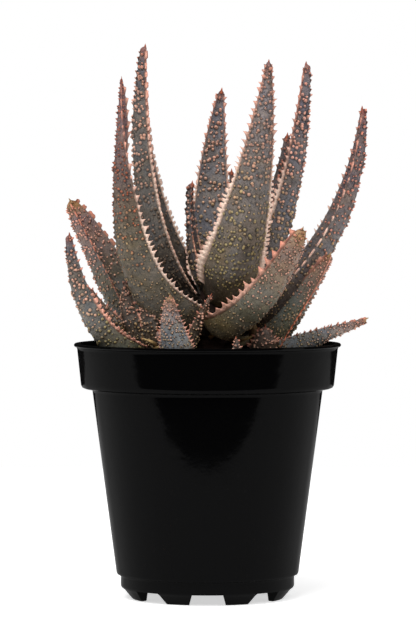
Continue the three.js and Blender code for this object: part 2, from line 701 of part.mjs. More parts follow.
// Each leaf gives way to the stems and to the leaves before it in the list. Teeth and tubercles
// grow only where there is room for them.
const grown = LEAVES.map((leaf) => leaf.body(GAP));
function isFreeFor(leaf) {
  return (point) => {
    const low = point.z < SOIL_TOP + SOIL_MOUND + STEM_CLEARANCE;
    const nearStem = stemNames.some((name) => {
      const stem = STEMS[name];
      const away = Math.hypot(point.x - stem.x, point.y - stem.y);
      return point.z < stem.top + STEM_CLEARANCE && away < stem.radius + STEM_CLEARANCE;
    });
    const outward = Math.hypot(point.x, point.y);
    const nearPot = point.z < POT_HEIGHT + RIM_CLEARANCE_ABOVE && outward > BAND_TOP_RADIUS - RIM_CLEARANCE;
    const nearLeaf = LEAVES.some((other) => other !== leaf && other.near(point, GROWTH_CLEARANCE));
    return !low && !nearStem && !nearPot && !nearLeaf;
  };
}
LEAVES.forEach((leaf, index) => {
  let solid = leaf.toothed(isFreeFor(leaf));
  for (const hole of stemHoles) {
    solid = solid.subtract(hole);
  }
  for (let i = 0; i < index; i += 1) {
    solid = solid.subtract(grown[i]);
  }
  addPiece(leaf.name, largestBody(solid), leaf.colour, 0.55);
});

// Everything above is set out round the pot's axis. The part's origin is the middle of the whole
// box, on the surface that the pot stands on, because the leaves reach further to one side.
const plant = new THREE.Group();
plant.add(...pieces);
const box = new THREE.Box3().setFromObject(plant);
plant.position.set(-(box.min.x + box.max.x) / 2, -(box.min.y + box.max.y) / 2, 0);

const group = new THREE.Group();
group.add(plant);

export default group;
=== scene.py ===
"""A potted purple haze aloe: leaves with tubercles and toothed margins, stems, soil and a nursery pot.

Lengths in the tables are millimetres round the pot's axis. Meshes are written in metres.
"""

import math

import bmesh
import bpy
import numpy as np
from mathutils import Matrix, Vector


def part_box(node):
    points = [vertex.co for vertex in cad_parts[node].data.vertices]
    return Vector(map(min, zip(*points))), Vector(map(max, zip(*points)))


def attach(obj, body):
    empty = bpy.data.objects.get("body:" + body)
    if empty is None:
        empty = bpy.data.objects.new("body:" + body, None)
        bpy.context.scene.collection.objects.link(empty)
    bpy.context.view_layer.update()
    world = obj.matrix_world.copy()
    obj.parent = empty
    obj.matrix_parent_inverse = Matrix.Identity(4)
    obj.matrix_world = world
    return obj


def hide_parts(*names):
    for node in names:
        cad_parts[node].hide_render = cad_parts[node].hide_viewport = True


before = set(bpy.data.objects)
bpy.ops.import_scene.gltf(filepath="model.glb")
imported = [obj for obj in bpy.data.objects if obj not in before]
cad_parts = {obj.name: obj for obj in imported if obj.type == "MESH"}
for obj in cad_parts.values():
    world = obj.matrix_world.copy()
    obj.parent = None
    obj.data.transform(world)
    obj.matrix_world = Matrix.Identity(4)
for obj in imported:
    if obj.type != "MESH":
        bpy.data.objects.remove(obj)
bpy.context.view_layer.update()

MM = 0.001
SEED = 20317
IMAGE_WIDTH = 416
IMAGE_HEIGHT = 643

pot_low, pot_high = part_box("pot")
POT_AXIS = np.array([(pot_low.x + pot_high.x) / 2, (pot_low.y + pot_high.y) / 2, 0])


def srgb(red, green, blue):
    """Linear colour of a screen colour given as 0 to 255."""
    share = np.array([red, green, blue], float) / 255
    return np.where(share <= 0.04045, share / 12.92, ((share + 0.055) / 1.055) ** 2.4)


def mix(a, b, share):
    return a + (b - a) * share


def smoothstep(x, low, high):
    t = np.clip((np.asarray(x, float) - low) / (high - low), 0, 1)
    return t * t * (3 - 2 * t)


def ramp(u, span, before, after):
    """A value that changes smoothly over a span of u, from before to after."""
    return mix(before, after, smoothstep(u, *span))


def tint(colours, other, share):
    """Colours mixed with another colour, each by its own share."""
    return mix(colours, other, share[:, None])


def joined(a, b):
    """The larger of two sizes, rounded where they meet."""
    return (a ** 3 + b ** 3) ** (1 / 3)


def unit(vectors):
    return vectors / np.maximum(np.linalg.norm(vectors, axis=-1, keepdims=True), 1e-12)


def lengths_along(points):
    """Length of a line of points from its start to each point."""
    return np.concatenate([[0], np.cumsum(np.linalg.norm(np.diff(points, axis=0), axis=1))])


def round_angles(sides):
    return np.arange(sides) * 2 * np.pi / sides


def add_object(name, data):
    thing = bpy.data.objects.new(name, data)
    bpy.context.scene.collection.objects.link(thing)
    return thing


# Camera

CAMERA_DISTANCE = 1520
CAMERA_HEIGHT = 169.3
MM_PER_PIXEL = 0.412
POT_AXIS_PIXEL = 207.5
EYE_LEVEL_PIXEL = 187
SENSOR = 24


def make_camera():
    pitch = math.atan((IMAGE_HEIGHT / 2 - EYE_LEVEL_PIXEL) * MM_PER_PIXEL / CAMERA_DISTANCE)
    reach = CAMERA_DISTANCE / math.cos(pitch)
    data = bpy.data.cameras.new("camera")
    data.sensor_fit = "VERTICAL"
    data.sensor_height = SENSOR
    data.lens = SENSOR * reach / (IMAGE_HEIGHT * MM_PER_PIXEL)
    data.clip_start = 0.05
    data.clip_end = 20
    camera = add_object("camera", data)
    aside = (IMAGE_WIDTH / 2 - POT_AXIS_PIXEL) * MM_PER_PIXEL
    place = POT_AXIS + np.array([aside, -CAMERA_DISTANCE, CAMERA_HEIGHT]) * MM
    camera.location = Vector(place)
    camera.rotation_euler = (math.pi / 2 - pitch, 0, 0)
    bpy.context.scene.camera = camera


make_camera()


# Meshes from arrays

class Build:
    """Collects parts of one piece. Its colour is skin where mask is 0, and growth where it is 1."""

    def __init__(self):
        self.points, self.faces, self.skin, self.growth, self.mask = [], [], [], [], []
        self.count = 0

    def add(self, points, faces, skin, growth, mask):
        points = np.asarray(points, float).reshape(-1, 3)
        total = len(points)
        self.points.append(points)
        self.faces += [np.asarray(part, np.int64) + self.count for part in faces]
        self.skin.append(np.broadcast_to(skin, (total, 3)))
        self.growth.append(np.broadcast_to(growth, (total, 3)))
        self.mask.append(np.broadcast_to(mask, (total,)))
        self.count += total

    def piece(self, name, material, smooth=True):
        mesh = bpy.data.meshes.new(name)
        points = np.vstack(self.points) * MM + POT_AXIS
        sizes = np.concatenate([np.full(len(part), part.shape[1]) for part in self.faces])
        loops = np.concatenate([part.reshape(-1) for part in self.faces])
        mesh.vertices.add(len(points))
        mesh.vertices.foreach_set("co", points.astype(np.float32).reshape(-1))
        mesh.loops.add(len(loops))
        mesh.loops.foreach_set("vertex_index", loops.astype(np.int32))
        mesh.polygons.add(len(sizes))
        starts = np.concatenate([[0], np.cumsum(sizes)[:-1]])
        mesh.polygons.foreach_set("loop_start", starts.astype(np.int32))
        mesh.polygons.foreach_set("use_smooth", np.full(len(sizes), smooth))
        mesh.update(calc_edges=True)
        mesh.validate()
        for label, rows in (("skin", self.skin), ("growth", self.growth)):
            layer = mesh.attributes.new(label, "FLOAT_COLOR", "POINT")
            colours = np.ones((len(points), 4), np.float32)
            colours[:, :3] = np.vstack(rows)
            layer.data.foreach_set("color", colours.reshape(-1))
        layer = mesh.attributes.new("mask", "FLOAT", "POINT")
        layer.data.foreach_set("value", np.concatenate(self.mask).astype(np.float32))
        mesh.materials.append(material)
        return add_object(name, mesh)


def tube_faces(rows, columns):
    """Quads between rings of points, each ring closed on itself."""
    ring = np.arange(rows - 1)[:, None] * columns
    here = np.arange(columns)[None, :]
    after = (here + 1) % columns
    corners = [ring + here, ring + after, ring + columns + after, ring + columns + here]
    return np.stack(corners, -1).reshape(-1, 4)


def fan(start, columns, apex, turned):
    """Triangles from one ring to a point."""
    here = np.arange(columns)
    after = (here + 1) % columns
    order = [start + after, start + here] if turned else [start + here, start + after]
    return np.stack([*order, np.full(columns, apex)], -1)


def closed_tube(rings, columns, bottom, top):
    """Points and faces of a stack of rings, closed by a fan to a point at each end."""
    points = np.vstack([*rings, bottom, top])
    faces = [tube_faces(len(rings), columns), fan(0, columns, len(points) - 2, True),
             fan((len(rings) - 1) * columns, columns, len(points) - 1, False)]
    return points, faces


# Leaves
#
# A place on a leaf is u, the share of its length, s, from -1 to 1 across it, and back, which is 1 on
# its outer face and 0 on its inner face.

CHANNEL = 0.3
KEEL_POWER = 0.68
CLASP = ((0, 0.16), 0.62, 1)
THICK_POWER = 0.9
BLUNT_RADIUS = 1.15
BLUNT_SHARE = 0.085
BLUNT_REACH = 1.5
BLUNT_DEPTH = 1.7
TIP_SHARE = 0.02
NEAR_TIP = 0.99
CURLED = (0.55, 1)
CURVE_STEPS = 241
# Waves of the skin, as (height, radians a millimetre along it, radians from its middle to its edge)
SKIN_WAVES = [(0.16, 0.22, 3), (0.1, 0.5, -2), (0.07, 1.1, 4), (0.05, 1.9, -5)]
FLAKE_WAVES = [(0.3, 1.3, 5), (0.2, 2.9, -8)]
BACK_PHASE = 2
LATEST_PHASE = 6
WAVES_HALF = 6
LEAST_WAVES = 0.05
RING_STEP = 0.95
LEAST_RINGS = 24
TIP_RINGS = 6
INNER_SIDES = 16
BACK_SIDES = 26

PEACH = srgb(236, 180, 154)
BAND = srgb(255, 224, 204)
CORAL = srgb(238, 152, 126)
SALMON = srgb(246, 180, 156)
RUST = srgb(178, 96, 64)
OCHRE = srgb(178, 150, 108)
LIME = srgb(176, 156, 102)
CLAY = srgb(160, 116, 94)
TAN = srgb(176, 146, 104)
# DUSK is painted shade: a dim tubercle colour for the shaded lower part of a leaf
DUSK = srgb(116, 94, 74)
DRY = srgb(158, 124, 84)
SPINE = srgb(140, 66, 46)
ROSE = srgb(210, 156, 132)
PINK = srgb(255, 160, 132)
PALE_PINK = srgb(255, 198, 174)
# Painted shadow in the gaps between margin teeth
PAINTED_GAP_SHADOW = srgb(92, 52, 46)

DRY_FROM = 1.6
DRY_BY = 0.3
DRY_SHARE = 0.85


class Look:
    """Colours of a leaf from its foot to its tip, and its tubercles' colours, size and crowding."""

    def __init__(self, low, middle, high, warts=(OCHRE, PEACH), band=BAND, tooth=CORAL,
                 size=1, rise=1, crowd=1):
        self.skin = [srgb(*low), srgb(*middle), srgb(*high)]
        self.warts, self.band, self.tooth = warts, band, tooth
        self.size, self.rise, self.crowd = size, rise, crowd


LOOKS = {
    "front": Look((104, 92, 70), (114, 105, 97), (126, 116, 116), (LIME, ROSE), crowd=1.1),
    "front_left": Look((112, 106, 88), (94, 87, 73), (120, 90, 90), (OCHRE, RUST), size=0.74, rise=0.8,
                       crowd=1.2),
    # left_back's dark low colour and its DUSK tubercles are painted shade on the shaded lower part of
    # the leaf
    "left_back": Look((36, 27, 22), (92, 87, 80), (92, 88, 88), (DUSK, PEACH), crowd=1.05),
    "back_centre": Look((96, 90, 84), (110, 108, 110), (108, 106, 110), crowd=1.65),
    "right": Look((90, 84, 78), (106, 102, 103), (106, 98, 104), (OCHRE, SALMON), crowd=1.2),
    "right_long": Look((72, 60, 52), (102, 95, 93), (106, 90, 92), (TAN, CORAL), size=0.85, crowd=0.9),
    # old's pale low colour is painted light, lightened to stand in for light that does not reach the
    # lower part of the leaf
    "old": Look((176, 158, 116), (112, 108, 88), (134, 108, 94), (OCHRE, ROSE), PALE_PINK, PINK,
                size=0.66, rise=0.7, crowd=1.35),
    "left_long": Look((110, 108, 84), (100, 98, 90), (92, 88, 92), (LIME, PEACH), SALMON, size=0.85,
                      rise=0.8, crowd=1.35),
    "left_old": Look((62, 60, 46), (82, 80, 70), (132, 108, 104), (TAN, SALMON), CLAY, size=0.75,
                     crowd=1.2),
    "rising": Look((58, 56, 44), (88, 92, 80), (130, 106, 90), (TAN, SALMON), RUST, SALMON, size=0.72,
                   crowd=1.9),
    "blue": Look((144, 148, 148), (140, 144, 146), (138, 110, 98), band=SALMON, size=0.62, crowd=2.6),
    "dark": Look((50, 42, 30), (68, 57, 44), (94, 76, 64), (TAN, PEACH), SALMON, size=0.74, rise=1.3,
                 crowd=2.2),
    # shade is painted shade: dark colours for a leaf that stands in the shade of others
    "shade": Look((56, 50, 44), (72, 65, 62), (76, 68, 68), (TAN, CORAL), CLAY, CLAY, size=0.85,
                  rise=1.2, crowd=1.5),
    "young": Look((70, 66, 58), (88, 82, 82), (90, 84, 84), band=PEACH, crowd=1.25),
    "papery": Look((112, 84, 52), (150, 120, 78), (176, 148, 102)),
    # husk is dark brown dead leaf, its low colour darkened further as painted shade in the hollow under
    # the leaves
    "husk": Look((30, 20, 14), (70, 52, 34), (112, 88, 58)),
}


class Leaf:
    """The same curve, section and facing as the solid that it stands for.

    teeth is their pitch and height. band is the margin's plain width and cuts its outline, each for
    the lower and the upper part. far_margin has all three for the edge at s = 1. spiny is the share
    of long dark spines, flare the extra width at the foot in times its band, and dry the dried
    share of the length.
    """

    def __init__(self, name, root, out, bow, tip, facing, width, thick, taper=0.9, twist=0, look="young",
                 slot="leaf", teeth=(2.4, 1.5), band=(0.5, 0), cuts=("saw", "thorn"), dry=0, curl=0,
                 blunt=BLUNT_RADIUS, spiny=0, flare=0, far_margin=None):
        self.name, self.slot, self.look = name, slot, LOOKS[look]
        self.corners = np.array([root, out, bow, tip], float)
        self.facing, self.twist, self.curl = [math.radians(v) for v in (facing, twist, curl)]
        self.width, self.thick, self.taper = width, thick, taper
        self.margins = {-1: (teeth, band, cuts), 1: far_margin or (teeth, band, cuts)}
        self.dry, self.flare, self.spiny = dry, flare, spiny
        self.blunt = min(blunt, width * BLUNT_SHARE)
        self.steps = np.linspace(0, 1, CURVE_STEPS)
        lengths = lengths_along(self.curve(self.steps))
        self.length = lengths[-1]
        self.shares = lengths / self.length
        self.dome_start = 1 - self.blunt * BLUNT_REACH / self.length
        self.waves = []

    def set_waves(self, waves, rng):
        self.waves = [(*wave, rng.uniform(0, LATEST_PHASE)) for wave in waves]

    def curve(self, t):
        t = np.asarray(t, float)[:, None]
        a, b, c, d = self.corners
        return (1 - t) ** 3 * a + 3 * (1 - t) ** 2 * t * b + 3 * (1 - t) * t * t * c + t ** 3 * d

    def slope(self, t):
        t = np.asarray(t, float)[:, None]
        a, b, c, d = self.corners
        return unit((1 - t) ** 2 * (b - a) + 2 * (1 - t) * t * (c - b) + t * t * (d - c))

    def place(self, u):
        """The middle of the leaf at u, and its directions: along, across and inward."""
        t = np.interp(u, self.shares, self.steps)
        centre, along = self.curve(t), self.slope(t)
        across = np.array([-math.sin(self.facing), math.cos(self.facing), 0])
        across = unit(across - along * (along @ across)[:, None])
        turn = (self.twist * np.asarray(u) + self.curl * smoothstep(u, *CURLED))[:, None]
        across = across * np.cos(turn) + np.cross(along, across) * np.sin(turn)
        return centre, along, across, np.cross(along, across)

    def shape(self, u):
        """Half the width and the thickness, with a blunt round end on the taper."""
        share = ramp(u, *CLASP) * np.maximum(1 - u, 0) ** self.taper
        into_dome = np.maximum(u - self.dome_start, 0) / (1 - self.dome_start)
        dome = self.blunt * np.sqrt(np.clip(1 - into_dome ** 2, 0, 1))
        half = joined(self.width / 2 * share, dome)
        deep = joined(self.thick * share ** THICK_POWER, dome * BLUNT_DEPTH)
        close = np.clip(dome / self.blunt, TIP_SHARE, 1)
        return half * close, deep * close

    def relief(self, u, s, back):
        """Slow waves of the skin, a fraction of a millimetre high."""
        height = np.zeros_like(u)
        for amount, lengthwise, sideways, phase in self.waves:
            turn = u * self.length * lengthwise + s * sideways + phase + back * BACK_PHASE
            height += amount * np.sin(turn)
        return height * np.sqrt(np.maximum(1 - s * s, 0))

    def surface(self, u, s, back):
        u, s, back = np.broadcast_arrays(*[np.asarray(v, float) for v in (u, s, back)])
        centre, along, across, inward = self.place(u)
        half, deep = self.shape(u)
        relief = self.relief(u, s, back) * np.clip(half / WAVES_HALF, LEAST_WAVES, 1)
        height = CHANNEL * half * s * s
        keel = height - deep * np.maximum(1 - s * s, 0) ** KEEL_POWER - relief
        height = np.where(back > 0.5, keel, height + relief)
        return centre + across * (s * half)[:, None] + inward * height[:, None]

    def normal(self, u, s, back):
        step = 1e-3
        u = np.clip(u, step, 1 - step)
        s = np.clip(s, -1 + step * 2, 1 - step * 2)
        lengthwise = self.surface(u + step, s, back) - self.surface(u - step, s, back)
        sideways = self.surface(u, s + step, back) - self.surface(u, s - step, back)
        facing = unit(np.cross(lengthwise, sideways))
        return np.where(np.asarray(back)[:, None] > 0.5, -facing, facing), unit(lengthwise)

    def skin(self, u):
        low, middle, high = self.look.skin
        u = np.asarray(u)[:, None]
        # Painted shade: the colour darkens to 0.35 of itself towards the foot, where the leaves crowd
        # together.
        colour = ramp(u, (0.08, 0.4), low, middle) * ramp(u, (0.04, 0.2), 0.35, 1)
        colour = ramp(u, (0.45, 0.92), colour, high)
        colour = mix(colour, SPINE, ramp(u, (0.92, 1), 0, 0.65))
        if self.dry:
            dried = smoothstep(u, 1 - self.dry * DRY_FROM, 1 - self.dry * DRY_BY)
            colour = mix(colour, DRY, dried * DRY_SHARE)
        return colour


def leaf_body(build, leaf):
    rings = max(LEAST_RINGS, round(leaf.length / RING_STEP))
    start = leaf.dome_start
    tip_turn = np.sin(np.arange(1, TIP_RINGS) / TIP_RINGS * np.pi / 2)
    u = np.concatenate([np.linspace(0, start, rings), start + (1 - start) * tip_turn])
    inner = np.cos(np.pi * np.arange(INNER_SIDES + 1) / INNER_SIDES)
    back = -np.cos(np.pi * np.arange(1, BACK_SIDES) / BACK_SIDES)
    s = np.concatenate([inner, back])
    is_back = np.concatenate([np.zeros(len(inner)), np.ones(len(back))])
    rings, columns = len(u), len(s)
    points = leaf.surface(np.repeat(u, columns), np.tile(s, rings), np.tile(is_back, rings))
    tip = leaf.surface([1], [0], [0])
    root = leaf.curve([0])
    points = np.vstack([points, tip, root])
    skin = np.vstack([np.repeat(leaf.skin(u), columns, axis=0), leaf.skin(np.array([1, 0]))])
    last = (rings - 1) * columns
    caps = [fan(last, columns, len(points) - 2, False), fan(0, columns, len(points) - 1, True)]
    build.add(points, [tube_faces(rings, columns), *caps], skin, skin, 0)


# Tubercles
#
# Their outline from the sunk foot up is (radius, height), as a dome low on a leaf and pointed above.
# DOME_COLOUR is how far each ring shows the tubercle's own colour, and DOME_SHADE is painted shade that
# darkens the skin round its foot.

DOME = [(1.8, -0.05), (1.15, 0.1), (0.82, 0.6), (0.42, 0.95)]
POINTED = [(1.8, -0.05), (1.1, 0.12), (0.64, 0.56), (0.28, 0.92)]
DOME_COLOUR = [0, 0, 0.75, 1]
DOME_SHADE = [0.72, 0.24, 0.7, 1]
DOME_SIDES = 7
WART_RADIUS = 0.66
WART_HEIGHT = 0.66
RADIUS_POWER = 1.5
WIDEST_SHARE = 0.5
WIDEST_SPARE = 0.12
STEEPEST = 1.7
WART_PITCH = 2.25
WARTS_KEPT = {1: 0.86, 0: 0.7}
WART_EDGE = 0.5
FIRST_PLACE = 0.04
INNER_PITCH = 1.3
ROW_PITCH = 2.3
ROW_SWING = 0.6
ROW_WAVES = 4
FIRST_ROW = 0.1
ARC_STEPS = 41
LOW_PITCH = 0.8
YOUNG_RADIUS = 0.72
YOUNG_HEIGHT = 0.4


def wart_places(leaf, rng):
    """Positions in irregular bands across both faces, as (u, s, back, size)."""
    rows = []
    across = np.cos(np.linspace(0, np.pi, ARC_STEPS))
    reach = leaf.length * FIRST_ROW
    while reach < leaf.length * NEAR_TIP:
        u = reach / leaf.length
        crowd = math.sqrt(leaf.look.crowd * ramp(u, (0.45, 0.8), 1, 1.35))
        closer = mix(1, LOW_PITCH, ramp(u, (0.1, 0.3), 1, 0))
        for back in (1, 0):
            line = leaf.surface(u, across, back)
            arc = lengths_along(line)
            width = arc[-1] - WART_EDGE * 2
            pitch = WART_PITCH / crowd * (1 if back else INNER_PITCH) * closer
            count = max(1, round(width / pitch))
            spots = (np.arange(count) + 0.5 + rng.uniform(-0.3, 0.3, count)) / count
            keep = rng.random(count) < WARTS_KEPT[back]
            s = np.interp(WART_EDGE + spots[keep] * width, arc, across)
            drift = rng.uniform(-0.75, 0.75, len(s)) + ROW_SWING * np.sin(s * ROW_WAVES + reach)
            places = np.clip((reach + drift) / leaf.length, FIRST_PLACE, NEAR_TIP)
            sizes = rng.uniform(0.72, 1.18, len(s))
            rows.append(np.stack([places, s, np.full(len(s), back), sizes], -1))
        reach += ROW_PITCH / crowd * rng.uniform(0.78, 1.22) * closer
    return np.vstack(rows)


def wart_shapes(leaf, u, s, back, size, rng):
    """Points of each tubercle: its rings from the foot up, then its top."""
    half, _ = leaf.shape(u)
    growing = smoothstep(u, 0.03, 0.4)
    radius = WART_RADIUS * leaf.look.size * size ** RADIUS_POWER * mix(YOUNG_RADIUS, 1, growing)
    radius = np.minimum(radius, half * WIDEST_SHARE + WIDEST_SPARE)
    height = WART_HEIGHT * leaf.look.rise * size * mix(YOUNG_HEIGHT, 1, growing)
    height = np.minimum(height * ramp(u, (0.45, 0.85), 1, 1.75), radius * STEEPEST)
    centre = leaf.surface(u, s, back)
    normal, along = leaf.normal(u, s, back)
    side = np.cross(normal, along)
    sharp = smoothstep(u, 0.45, 0.8)
    pointed = sharp[:, None, None]
    angles = round_angles(DOME_SIDES)[None, :, None]
    rings = []
    for (r0, h0), (r1, h1) in zip(DOME, POINTED):
        dents = 1 + rng.uniform(-0.12, 0.12, (len(u), DOME_SIDES, 1))
        r = mix(r0, r1, pointed) * radius[:, None, None] * dents
        h = mix(h0, h1, pointed) * height[:, None, None]
        lean = np.maximum(h, 0) * mix(0.05, 0.35, pointed)
        ring = centre[:, None] + along[:, None] * (np.cos(angles) * r + lean)
        rings.append(ring + side[:, None] * (np.sin(angles) * r) + normal[:, None] * h)
    top_lean = height * mix(0.05, 0.45, sharp)
    top = centre + normal * height[:, None] + along * top_lean[:, None]
    body = np.stack(rings, 1).reshape(len(u), -1, 3)
    return np.concatenate([body, top[:, None]], 1)


def leaf_warts(build, leaf, rng):
    u, s, back, size = wart_places(leaf, rng).T
    look, total = leaf.look, len(u)
    points = wart_shapes(leaf, u, s, back, size, rng)
    each = points.shape[1]
    cap = fan((len(DOME) - 1) * DOME_SIDES, DOME_SIDES, each - 1, False)
    shift = (np.arange(total) * each)[:, None, None]
    faces = [(part[None] + shift).reshape(-1, part.shape[1])
             for part in (tube_faces(len(DOME), DOME_SIDES), cap)]
    masks = np.append(np.repeat(DOME_COLOUR, DOME_SIDES), 1)
    # Painted shade on the skin round the foot of each tubercle
    shade = np.append(np.repeat(DOME_SHADE, DOME_SIDES), 1)
    skin = leaf.skin(u)[:, None] * shade[None, :, None]
    change = u + rng.uniform(-0.12, 0.12, total)
    tone = tint(*look.warts, smoothstep(change, 0.3, 0.66))
    tone = tint(tone, look.tooth, ramp(u, (0.8, 1), 0, 0.6))
    tone = tint(tone, RUST, ramp(u, (0.9, 1), 0, 0.4))
    strength = rng.uniform(0.6, 1.1, (total, 1)) * ramp(u, (0.3, 0.8), 0.9, 1.15)[:, None]
    tone = mix(leaf.skin(u), tone, np.minimum(strength, 1)) * rng.uniform(0.8, 1.12, (total, 1))
    growth = np.broadcast_to(tone[:, None], (total, each, 3))
    build.add(points, faces, skin.reshape(-1, 3), growth.reshape(-1, 3), np.tile(masks, total))


# Margins: a thin band of gristle that stands out from the edge and is cut into teeth

# Outline of one tooth along the margin, as (share of its length, share of its height)
TOOTH_CUTS = {
    "saw": [(0, 0), (0.28, 0.2), (0.52, 0.58), (0.7, 1), (0.8, 0.5), (0.92, 0.04)],
    "block": [(0, 0), (0.05, 0.7), (0.2, 1), (0.42, 0.84), (0.6, 0.97), (0.76, 0.7), (0.84, 0)],
    "fang": [(0, 0), (0.1, 0.3), (0.28, 0.72), (0.42, 1), (0.47, 0.8), (0.56, 0.3), (0.66, 0)],
    "dash": [(0, 0), (0.1, 0.7), (0.35, 1), (0.7, 0.95), (0.86, 0.6), (0.94, 0)],
    "thorn": [(0, 0), (0.14, 0.3), (0.26, 0.74), (0.36, 1), (0.43, 0.5), (0.54, 0)],
}
CUT_CHANGES_AT = 0.55
MARGIN_START = 0.05
MARGIN_END = 0.985
BROKEN_CHANCE = 0.08
BROKEN_HEIGHT = 0.3
SPINES_FROM = 0.5
SPINE_LENGTH = 1.2
PLATE_TEETH = 0.4

# The band's section, as (share of its reach, share of its thickness), from its inner side outwards
BAND_SECTION = [(0.4, 0.5), (0.8, 0.36), (1, 0), (0.8, -0.36), (0.4, -0.5)]
BAND_MASK = [0.6, 1, 1, 1, 1, 1, 0.6]
BAND_THICKNESS = 0.6
FULL_BAND = 0.55
OUT_ACROSS = 0.92
OUT_INWARD = 0.38
REACH_SHARE = 0.75
REACH_SPARE = 0.4
THICK_SHARE = 0.4
LEAST_EDGE = 0.15
FOOT_WIDTH = 0.34
FOOT_PER_BAND = 0.3
FOOT_SHARE = 0.35
LEAST_FOOT = 0.3
UNDER_SHARE = 0.35
SUNK = 0.06
TOOTH_LEAN = 0.35
BAND_NOISE = 0.04
RIPE_TEETH = 0.7


def margin_line(leaf, rng, side):
    """Places along a margin: u, tooth height, band width, share of the tooth, darkness."""
    rows = []
    (tooth_pitch, tooth_height), (low, high), cuts = leaf.margins[side]
    reach = leaf.length * MARGIN_START
    while reach < leaf.length * MARGIN_END:
        u = reach / leaf.length
        pitch = tooth_pitch * ramp(u, (0.35, 0.85), 0.9, 1.45) * rng.uniform(0.72, 1.35)
        span = pitch * rng.uniform(0.6, 1)
        height = tooth_height * rng.uniform(0.5, 1.15) * ramp(u, (0, 0.3), 0.6, 1)
        height *= ramp(u, (0.7, 1), 1, 0.75)
        chance = rng.random()
        dark = rng.uniform(0, 0.5) * ramp(u, (0.4, 0.7), 0, 1)
        if chance < BROKEN_CHANCE:
            height *= BROKEN_HEIGHT
        elif chance > 1 - leaf.spiny and u > SPINES_FROM:
            height, dark = height + SPINE_LENGTH, 1
        band = ramp(u, (0.38, 0.66), low, high) * smoothstep(u, 0.02, 0.12) * rng.uniform(0.85, 1.1)
        plate = leaf.flare * ramp(u, (0.14, 0.3), 1, 0)
        band += low * plate
        height /= 1 + PLATE_TEETH * plate
        upper = u > CUT_CHANGES_AT + rng.uniform(-0.05, 0.05)
        for at, share in TOOTH_CUTS[cuts[int(upper)]]:
            place = (reach + at * span) / leaf.length
            rows.append((place, height * share, band, share, dark * share))
        reach += pitch
    table = np.array(rows)
    return table[table[:, 0] < NEAR_TIP]


def leaf_margin(build, leaf, rng, side):
    u, tooth, band, share, dark = margin_line(leaf, rng, side).T
    total = len(u)
    half, _ = leaf.shape(u)
    _, along, across, inward = leaf.place(u)
    out = unit(across * side * OUT_ACROSS + inward * OUT_INWARD)
    reach = np.minimum(band + tooth, half * REACH_SHARE + REACH_SPARE)
    grown = np.clip(reach / FULL_BAND, 0, 1)
    thin = np.minimum(BAND_THICKNESS, half * THICK_SHARE) * mix(LEAST_EDGE, 1, grown)
    foot = np.minimum(FOOT_WIDTH + band * FOOT_PER_BAND, half * FOOT_SHARE) * mix(LEAST_FOOT, 1, grown)
    edge = leaf.surface(u, side, 0)
    over = leaf.surface(u, side * (1 - foot / half), 0) - inward * SUNK
    under = leaf.surface(u, side * (1 - foot * UNDER_SHARE / half), 1) - across * side * SUNK
    reach = reach[:, None]
    lean = along * (tooth * TOOTH_LEAN)[:, None]
    across_band = np.cross(along, out) * side
    ring = [edge + out * reach * far + lean * far * far + across_band * (thin * thick)[:, None]
            for far, thick in BAND_SECTION]
    ring = [over, *ring, under]
    columns = len(ring)
    points = np.stack(ring, 1)
    points[:, 1:-1] += rng.normal(0, BAND_NOISE, points[:, 1:-1].shape)
    faces = tube_faces(total, columns)
    ends = [np.arange(columns)[None], np.arange(columns)[None, ::-1] + (total - 1) * columns]
    if side > 0:
        faces = faces[:, ::-1]
        ends = [part[:, ::-1] for part in ends]
    ripe = np.clip(share * RIPE_TEETH + ramp(u, (0.5, 0.95), 0, 0.5), 0, 1)
    base = tint(leaf.look.band, leaf.look.tooth, ramp(u, (0.45, 0.9), 0, 0.6))
    # Painted shadow between the teeth, darkest where a tooth is lowest
    base = tint(base, PAINTED_GAP_SHADOW, smoothstep(u, 0.45, 0.7) * (1 - share) * 0.85)
    tone = tint(base, leaf.look.tooth, ripe * 0.8) * rng.uniform(0.86, 1.08, (total, 1))
    tone = tint(tone, SPINE, dark)
    foot_tone = mix(base, CLAY, 0.7)
    side_tone = mix(base, tone, 0.6)
    growth = np.stack([foot_tone, base, side_tone, tone, side_tone, base, foot_tone], 1)
    mask = np.array(BAND_MASK)[None] * smoothstep(grown, 0.2, 0.8)[:, None]
    skin = np.repeat(leaf.skin(u), columns, axis=0)
    build.add(points, [faces, *ends], skin, growth.reshape(-1, 3), mask.reshape(-1))


SPINE_SIDES = 7
SPINE_SECTION = [(0.6, -1.6), (0.52, -0.6), (0.3, 0.3)]
SPINE_TOP = 1.1
SIDEWAYS = [0.3, 0.9, 0.2]


def leaf_spine(build, leaf, rng):
    """The hard point at the leaf's tip."""
    place = leaf.curve([1])[0]
    along = leaf.slope([NEAR_TIP])[0]
    aside = unit(np.cross(along, SIDEWAYS))
    other = np.cross(along, aside)
    angles = round_angles(SPINE_SIDES)[:, None]
    circle = aside * np.cos(angles) + other * np.sin(angles)
    rings = [place + along * height + circle * radius * min(1, leaf.blunt)
             for radius, height in SPINE_SECTION]
    points = np.vstack([*rings, place + along * SPINE_TOP])
    last = (len(rings) - 1) * SPINE_SIDES
    cap = fan(last, SPINE_SIDES, last + SPINE_SIDES, False)
    tone = DRY if leaf.dry else mix(SPINE, RUST, rng.uniform(0.2, 0.8))
    build.add(points, [tube_faces(len(rings), SPINE_SIDES), cap], tone, tone, 1)


